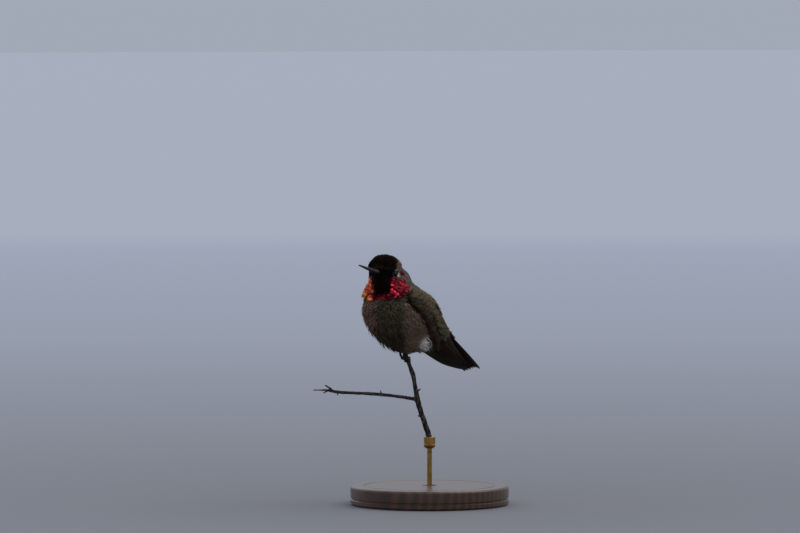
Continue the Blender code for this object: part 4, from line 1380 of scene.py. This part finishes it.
def scalySkin():
    # dry scaled skin over bone, matt, each plate paler in its middle and darker towards its edges
    made, tree = newMaterial("scaled foot skin", {"Roughness": 0.6, "IOR": 1.45, "Specular IOR Level": 0.3})
    place = addNode(tree, "ShaderNodeTexCoord")
    # 0.2 mm plates
    cells = addNode(tree, "ShaderNodeTexVoronoi", {"Scale": 1 / (0.2 * mm)},
                    {"Vector": place.outputs["Object"]})
    tone = addNode(tree, "ShaderNodeValToRGB", None, {"Fac": cells.outputs["Distance"]})
    rampStops(tone, [(0.0, "#2e2823"), (0.5, "#1d1916"), (0.9, "#0d0b09")])
    bump = addNode(tree, "ShaderNodeBump", {"invert": True, "Strength": 0.5, "Distance": 0.03 * mm},
                   {"Height": cells.outputs["Distance"]})
    return wireShader(made, {"Base Color": tone.outputs["Color"], "Normal": bump.outputs[0]})


def clawHorn():
    # black horn like the bill's, polished by wear
    made, tree = newMaterial("claw horn", {"Roughness": 0.32, "IOR": 1.54})
    place = addNode(tree, "ShaderNodeTexCoord")
    # 0.3 mm clouding
    grain = addNode(tree, "ShaderNodeTexNoise", {"Scale": 1 / (0.3 * mm), "Detail": 3.0},
                    {"Vector": place.outputs["Object"]})
    tone = addNode(tree, "ShaderNodeValToRGB", None, {"Fac": grain.outputs["Fac"]})
    rampStops(tone, [(0.35, "#0d0b0b"), (0.75, "#241f1d")])
    return wireShader(made, {"Base Color": tone.outputs["Color"]})


# sizes in mm, with headings round the stem in degrees
footSizes = {
    "left": {"heading": 24.0, "up": -0.4, "off": 0.0, "hindToe": (-1.9, -52)},
    "right": {"heading": -60.0, "up": -0.8, "off": 0.35, "hindToe": (-0.5, -44)},
    "soleReach": 1.75, "toeReach": 1.46, "ankleUp": 0.95, "ankleReach": 2.1,
    # how far each toe drops, and how far round the stem it reaches
    "frontToes": ((-0.1, 128), (-0.9, 118), (-1.7, 104)),
    # the stem's middle: how far out it lies at each height, and on which heading
    "stem": ((0.3, 1.0), (1.0, -1.6), (2.2, -4.6), (3.1, -7.2)), "stemHeading": 51.0}


def besideStem(heading, up, away):
    # a place beside the stem at that height, on the side that the heading faces
    lean = math.radians(footSizes["stemHeading"])
    out, heights = zip(*footSizes["stem"])
    middle = np.interp(-up, [-z for z in heights], out)
    turn = math.radians(heading)
    return np.array((math.cos(lean) * middle + away * math.sin(turn),
                     math.sin(lean) * middle - away * math.cos(turn), up))


def makeFoot(name, side, skinMaterial, hornMaterial):
    s = footSizes
    heading, up, off = s[name]["heading"], s[name]["up"], s[name]["off"]
    sole = besideStem(heading, up, s["soleReach"] + off)
    shapes, claws = [ballPoints(sole, (0.62, 0.62, 0.8), 20)], []
    share = np.linspace(0, 1, 60)
    scales = 0.012 * np.sin(share * 150)
    for drop, sweep in (*s["frontToes"], s[name]["hindToe"]):
        path = []
        for t in np.linspace(0, 1, 14):
            ease = min(1.0, t * 2.2)
            path.append(besideStem(heading + sweep * side * t, up + drop * ease,
                                   s["soleReach"] + off + (s["toeReach"] - s["soleReach"] - off) * ease))
        path = curveThrough(path, 60)
        # pads at the joints, and a rounded end that the claw grows out of
        radii = 0.36 - 0.07 * share + 0.045 * np.cos(share * 2 * math.pi * 3.2)**2 + scales
        radii[42:47] *= (1, 0.97, 0.9, 0.8, 0.66)
        shapes.append(tubeShape(path[:47], radii[:47], 14))
        nail = path[43:]
        down = np.linspace(0, 1, len(nail))
        inward = unit(nail - besideStem(heading, up, 0))
        # the claw arches a little and hooks into the bark
        arch = np.outer(0.1 * np.sin(down * math.pi), (0, 0, 1))
        nail = nail + arch - inward * (0.12 * down**2)[:, None]
        claws.append(tubeShape(nail, 0.21 * (1 - down)**0.7 + 0.02, 12))
    ankle = besideStem(heading, up + s["ankleUp"], s["ankleReach"] + off)
    knee = ankle + (1.3 * side, 0.3, 2.9)
    shank = [knee + (0.5 * side, 0.15, 1.3), knee, ankle + (0.6 * side, 0.1, 1.3), ankle, sole]
    shank = curveThrough(shank, 60)
    shapes.append(tubeShape(shank, 0.42 + 0.16 * (1 - share) + scales + 0.05 * bell(share - 0.78, 0.06), 14))
    solid = [(p, np.vstack([f[0][:, [0, 1, 2]], f[0][:, [0, 2, 3]], f[1]]) if isinstance(f, list) else f)
             for p, f in shapes]
    foot = refined("foot_skin_" + name, solid, 0.07, rounds=2)
    foot.data.materials.append(skinMaterial)
    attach(foot, "root")
    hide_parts("foot_" + name, "leg_" + name)
    points, faces = joinSolids([(p, fixFacing(p, f)) for p, f in claws])
    makePiece("claws_" + name, points, faces, hornMaterial, "foot_skin")


footSkin, horn = scalySkin(), clawHorn()
makeFoot("left", 1, footSkin, horn)
makeFoot("right", -1, footSkin, horn)
print("feet made")


def barkMaterial():
    # dry grey-brown bark: long cracks and ridges, pale worn patches, and painted shade that darkens the
    # hollows
    made, tree = newMaterial("dry bark", {"Roughness": 0.9, "IOR": 1.45, "Specular IOR Level": 0.25})
    place = addNode(tree, "ShaderNodeTexCoord")
    ridge = addNode(tree, "ShaderNodeAttribute", {"attribute_name": "ridge"})
    # 1.6 mm weathered patches and 0.25 mm grain
    patch = addNode(tree, "ShaderNodeTexNoise", {"Scale": 1 / (1.6 * mm), "Detail": 4.0, "Roughness": 0.65},
                    {"Vector": place.outputs["Object"]})
    grain = addNode(tree, "ShaderNodeTexNoise", {"Scale": 1 / (0.25 * mm), "Detail": 4.0},
                    {"Vector": place.outputs["Object"]})
    # painted shade: the colour follows the ridges, darker in the hollows between them
    mix = addNode(tree, "ShaderNodeMath", {"operation": "MULTIPLY_ADD", 1: 0.5},
                  {0: ridge.outputs["Fac"], 2: patch.outputs["Fac"]})
    tone = addNode(tree, "ShaderNodeValToRGB", None, {"Fac": mix.outputs[0]})
    rampStops(tone, [(0.28, "#141110"), (0.45, "#2d2826"), (0.62, "#433d3b"), (0.85, "#5d5653")])
    spots = addNode(tree, "ShaderNodeMapRange",
                    {"From Min": 0.35, "From Max": 0.65, "To Min": 0.75, "To Max": 1.2},
                    {"Value": grain.outputs["Fac"]})
    tint = addNode(tree, "ShaderNodeVectorMath", {"operation": "SCALE"},
                   {0: tone.outputs["Color"], "Scale": spots.outputs["Result"]})
    bump = addNode(tree, "ShaderNodeBump", {"Strength": 0.7, "Distance": 0.08 * mm},
                   {"Height": grain.outputs["Fac"]})
    return wireShader(made, {"Base Color": tint.outputs[0], "Normal": bump.outputs[0]})


def makeTwig():
    twig = refined("twig_bark", [nodePoints("perch_twig")], 0.16, rounds=4)
    points, normals = pointsOf(twig)
    across = points[:, 0] * 0.63 + points[:, 1] * 0.78
    out = points[:, 0] * 0.78 - points[:, 1] * 0.63
    up = points[:, 2]
    # the ridges run up the stem, and along the branch where it leaves it
    onBranch = ramp(-across, -1.0, 2.5) * (np.abs(up + 15.5) < 3.5)
    stemWave = np.sin(out * 5.2 + np.sin(up * 0.7) * 1.4) * np.sin(across * 4.6 + np.sin(up * 0.9 + 2) * 1.2)
    branchWave = np.sin(up * 5.6 + np.sin(across * 0.8) * 1.3) * np.sin(out * 5.0 + np.sin(across * 0.7 + 1))
    ridge = stemWave * (1 - onBranch) + branchWave * onBranch
    knots = speckle(points, 2.2)
    setPoints(twig.data, points + normals * (0.07 * ridge + 0.06 * knots)[:, None])
    twig.data.update()
    paint(twig, "ridge", ridge * 0.5 + 0.2 * knots)
    twig.data.materials.append(barkMaterial())
    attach(twig, "root")
    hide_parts("perch_twig")


makeTwig()
print("twig made")


def turnedWood():
    # waxed hardwood: growth rings across the disc, fine pores, a soft polish
    made, tree = newMaterial("waxed walnut", {
        "Roughness": 0.38, "IOR": 1.5, "Coat Weight": 0.25, "Coat Roughness": 0.25})
    place = addNode(tree, "ShaderNodeTexCoord")
    bend = addNode(tree, "ShaderNodeTexNoise", {"Scale": 30.0, "Detail": 2.0},
                   {"Vector": place.outputs["Object"]})
    shift = addNode(tree, "ShaderNodeVectorMath", {"operation": "MULTIPLY_ADD", 1: (0.012, 0.012, 0.012)},
                    {0: bend.outputs["Color"], 2: place.outputs["Object"]})
    # rings about 3 mm apart, and pores about 0.2 mm wide, drawn out along the grain
    rings = addNode(tree, "ShaderNodeTexWave",
                    {"wave_type": "BANDS", "bands_direction": "Y", "Scale": 95.0, "Distortion": 2.5,
                     "Detail": 3.0, "Detail Scale": 1.5},
                    {"Vector": shift.outputs[0]})
    stretch = addNode(tree, "ShaderNodeMapping", {"Scale": (1.0, 14.0, 6.0)},
                      {"Vector": place.outputs["Object"]})
    pores = addNode(tree, "ShaderNodeTexNoise", {"Scale": 420.0, "Detail": 3.0},
                    {"Vector": stretch.outputs[0]})
    tone = addNode(tree, "ShaderNodeValToRGB", None, {"Fac": rings.outputs["Fac"]})
    rampStops(tone, [(0.1, "#3c271b"), (0.55, "#492f21"), (0.95, "#563927")])
    fine = addNode(tree, "ShaderNodeMapRange",
                   {"From Min": 0.35, "From Max": 0.7, "To Min": 0.78, "To Max": 1.12},
                   {"Value": pores.outputs["Fac"]})
    tint = addNode(tree, "ShaderNodeVectorMath", {"operation": "SCALE"},
                   {0: tone.outputs["Color"], "Scale": fine.outputs["Result"]})
    bump = addNode(tree, "ShaderNodeBump", {"Strength": 0.2, "Distance": 0.05 * mm},
                   {"Height": pores.outputs["Fac"]})
    return wireShader(made, {"Base Color": tint.outputs[0], "Normal": bump.outputs[0]})


def turnedBrass():
    # brass left from the lathe: fine rings and a little toning
    made, tree = newMaterial("turned brass", {"Metallic": 1.0})
    place = addNode(tree, "ShaderNodeTexCoord")
    # rings 0.35 mm apart, drawn coarser than the tool's so that they show, and clouds of tarnish over 1.5 mm
    rings = addNode(tree, "ShaderNodeTexWave",
                    {"wave_type": "BANDS", "bands_direction": "Z", "Scale": 900.0, "Distortion": 1.0},
                    {"Vector": place.outputs["Object"]})
    tarnish = addNode(tree, "ShaderNodeTexNoise", {"Scale": 600.0, "Detail": 3.0},
                      {"Vector": place.outputs["Object"]})
    tone = addNode(tree, "ShaderNodeValToRGB", None, {"Fac": tarnish.outputs["Fac"]})
    rampStops(tone, [(0.3, "#8a6a34"), (0.6, "#b08b4a")])
    rough = addNode(tree, "ShaderNodeMapRange", {"To Min": 0.22, "To Max": 0.42},
                    {"Value": tarnish.outputs["Fac"]})
    bump = addNode(tree, "ShaderNodeBump", {"Strength": 0.15, "Distance": 0.02 * mm},
                   {"Height": rings.outputs["Fac"]})
    return wireShader(made, {"Base Color": tone.outputs["Color"], "Roughness": rough.outputs["Result"],
                             "Normal": bump.outputs[0]})


def turnedPiece(name, profile, steps, material, slotName, node):
    # profile is (radius, height) in mm from the axis, up the outside and back to the axis
    turn = np.arange(steps) * 2 * math.pi / steps
    rings = [np.stack([np.cos(turn) * r, np.sin(turn) * r, np.full(steps, z)], -1) for r, z in profile[1:-1]]
    points = np.vstack([*rings, [(0, 0, profile[0][1])], [(0, 0, profile[-1][1])]])
    first, last = len(points) - 2, len(points) - 1
    k = np.arange(steps)
    end = (len(rings) - 1) * steps
    caps = np.vstack([np.stack([np.full(steps, first), k, (k + 1) % steps], -1),
                      np.stack([np.full(steps, last), end + (k + 1) % steps, end + k], -1)])
    faces = [loftFaces(len(rings), steps, caps=False)[0], caps]
    piece = makePiece(name, points - grip, fixFacing(points, faces), material, slotName, (node,))
    piece.data.set_sharp_from_angle(angle=math.radians(38))


def makeStand():
    high = np.array(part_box("stand_base")[1]) / mm
    radius, top = high[0], high[2]
    # a fine line turned into the rim, a rounded edge, a groove on the top and a seat for the rod
    rim = [(radius - 0.8, 0.0), (radius, 0.8), (radius, 2.2),
           (radius - 0.35, 2.5), (radius - 0.35, 2.9), (radius, 3.2)]
    arc = [(radius - 1.2 + 1.2 * math.cos(a), top - 1.2 + 1.2 * math.sin(a))
           for a in np.linspace(0, math.pi / 2, 9)]
    groove = [(27.6, top), (27.3, top - 0.28), (26.9, top - 0.28), (26.6, top)]
    seat = [(3.2, top), (3.0, top - 0.35), (1.2, top - 0.35)]
    turnedPiece("base_turned", [(0, 0), *rim, *arc, *groove, *seat, (0, top - 0.35)], 144, turnedWood(),
                "turned_wood", "stand_base")
    brass = turnedBrass()
    low, high = (np.array(c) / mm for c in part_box("stand_rod"))
    r, foot, head = high[0], low[2] - 0.25, high[2] + 0.2
    rod = [(0, foot), (r, foot), (r, head), (0, head)]
    turnedPiece("rod_brass", rod, 48, brass, "rod_brass", "stand_rod")
    low, high = (np.array(c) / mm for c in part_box("stand_ferrule"))
    r, foot, head = high[0], low[2], high[2]
    # a cup with a rounded foot and one turned line, open at the top for the twig
    cup = [(0, 0), (r - 0.8, 0), (r - 0.45, 0.25), (r, 0.9), (r, 1.6),
           (r - 0.15, 1.75), (r - 0.15, 1.95), (r, 2.1)]
    cup = [(x, foot + z) for x, z in cup] + [(r, head - 0.15), (r - 0.15, head), (r - 0.55, head)]
    cup += [(r - 0.7, head - 0.15), (r - 0.7, foot + 1.3), (0, foot + 1.3)]
    turnedPiece("ferrule_brass", cup, 64, brass, "rod_brass", "stand_ferrule")


makeStand()
print("stand made")


def mattPaper():
    # a sheet of paper, matt and barely mottled, with painted shade that grades it from dark near the stand to
    # pale far off
    made, tree = newMaterial("matt paper", {"Roughness": 0.95, "Specular IOR Level": 0.1})
    place = addNode(tree, "ShaderNodeTexCoord")
    far = addNode(tree, "ShaderNodeVectorMath", {"operation": "LENGTH"}, {0: place.outputs["Object"]})
    # painted shade and light: the paper is painted darker near the stand and paler with distance, over 3 m
    share = addNode(tree, "ShaderNodeMapRange", {"From Max": 3.0}, {"Value": far.outputs["Value"]})
    tone = addNode(tree, "ShaderNodeValToRGB", None, {"Fac": share.outputs["Result"]})
    rampStops(tone, [(0.0, "#7d8088"), (0.14, "#898f9b"), (0.43, "#9ca4b4"), (0.87, "#a4adc0"),
                     (1.0, "#aeb7c6")])
    # 4 mm mottling
    grain = addNode(tree, "ShaderNodeTexNoise", {"Scale": 250.0, "Detail": 2.0},
                    {"Vector": place.outputs["Object"]})
    fine = addNode(tree, "ShaderNodeMapRange", {"To Min": 0.98, "To Max": 1.02},
                   {"Value": grain.outputs["Fac"]})
    tint = addNode(tree, "ShaderNodeVectorMath", {"operation": "SCALE"},
                   {0: tone.outputs["Color"], "Scale": fine.outputs["Result"]})
    return wireShader(made, {"Base Color": tint.outputs[0]})


def directionTo(azimuth, elevation):
    # from the part towards a lamp or the camera; 0 is in front of the bird
    a, e = math.radians(azimuth), math.radians(elevation)
    return Vector((math.sin(a) * math.cos(e), -math.cos(a) * math.cos(e), math.sin(e)))


def studio():
    # a sheet of paper under a soft overcast light, brighter overhead than at the horizon
    half = 30.0
    floor = bpy.data.objects.new("floor", bpy.data.meshes.new("floor"))
    corners = [(-half, -half, 0), (half, -half, 0), (half, half, 0), (-half, half, 0)]
    floor.data.from_pydata(corners, [], [(0, 1, 2, 3)])
    floor.data.materials.append(mattPaper())
    bpy.context.scene.collection.objects.link(floor)
    world = bpy.data.worlds.new("overcast")
    bpy.context.scene.world = world
    world.use_nodes = True
    sky = world.node_tree
    place = addNode(sky, "ShaderNodeTexCoord")
    height = addNode(sky, "ShaderNodeSeparateXYZ", None, {0: place.outputs["Generated"]})
    tone = addNode(sky, "ShaderNodeValToRGB", None, {"Fac": height.outputs["Z"]})
    rampStops(tone, [(0.0, "#a2a9b6"), (0.12, "#a4abb7"), (0.5, "#c3c6cc"), (1.0, "#d6d7da")])
    sky.links.new(tone.outputs["Color"], sky.nodes["Background"].inputs["Color"])
    sky.nodes["Background"].inputs["Strength"].default_value = 1.0
    for name, azimuth, up, spread, power, tint in (("key", 160, 58, 50, 0.9, "#fff4e6"),
                                                   ("fill", 250, 40, 60, 0.35, "#f2f5ff")):
        light = bpy.data.lights.new(name, "SUN")
        light.angle = math.radians(spread)
        light.energy = power
        light.color = toLinear(tint)
        lamp = bpy.data.objects.new(name, light)
        lamp.location = directionTo(azimuth, up)
        lamp.rotation_euler = lamp.location.to_track_quat("Z", "Y").to_euler()
        bpy.context.scene.collection.objects.link(lamp)


# frameWidth is in mm at the bird; right and up shift the model in the picture by that many mm
cameraSetup = {
    "azimuth": 51.0, "elevation": 2.5, "lens": 250.0, "frameWidth": 333.3, "right": 2.08, "up": 37.3}


def placeCamera():
    s = cameraSetup
    data = bpy.data.cameras.new("camera")
    data.lens = s["lens"]
    data.clip_end = 100
    camera = bpy.data.objects.new("camera", data)
    bpy.context.scene.collection.objects.link(camera)
    back = directionTo(s["azimuth"], s["elevation"])
    turn = math.radians(s["azimuth"])
    right = Vector((math.cos(turn), math.sin(turn), 0))
    aim = Vector(grip.tolist()) - right * s["right"] + back.cross(right) * s["up"]
    camera.location = (aim + back * (s["frameWidth"] / data.sensor_width * s["lens"])) * mm
    camera.rotation_euler = back.to_track_quat("Z", "Y").to_euler()
    bpy.context.scene.camera = camera


studio()
placeCamera()
bpy.context.scene.view_settings.view_transform = "Standard"
print("studio set")
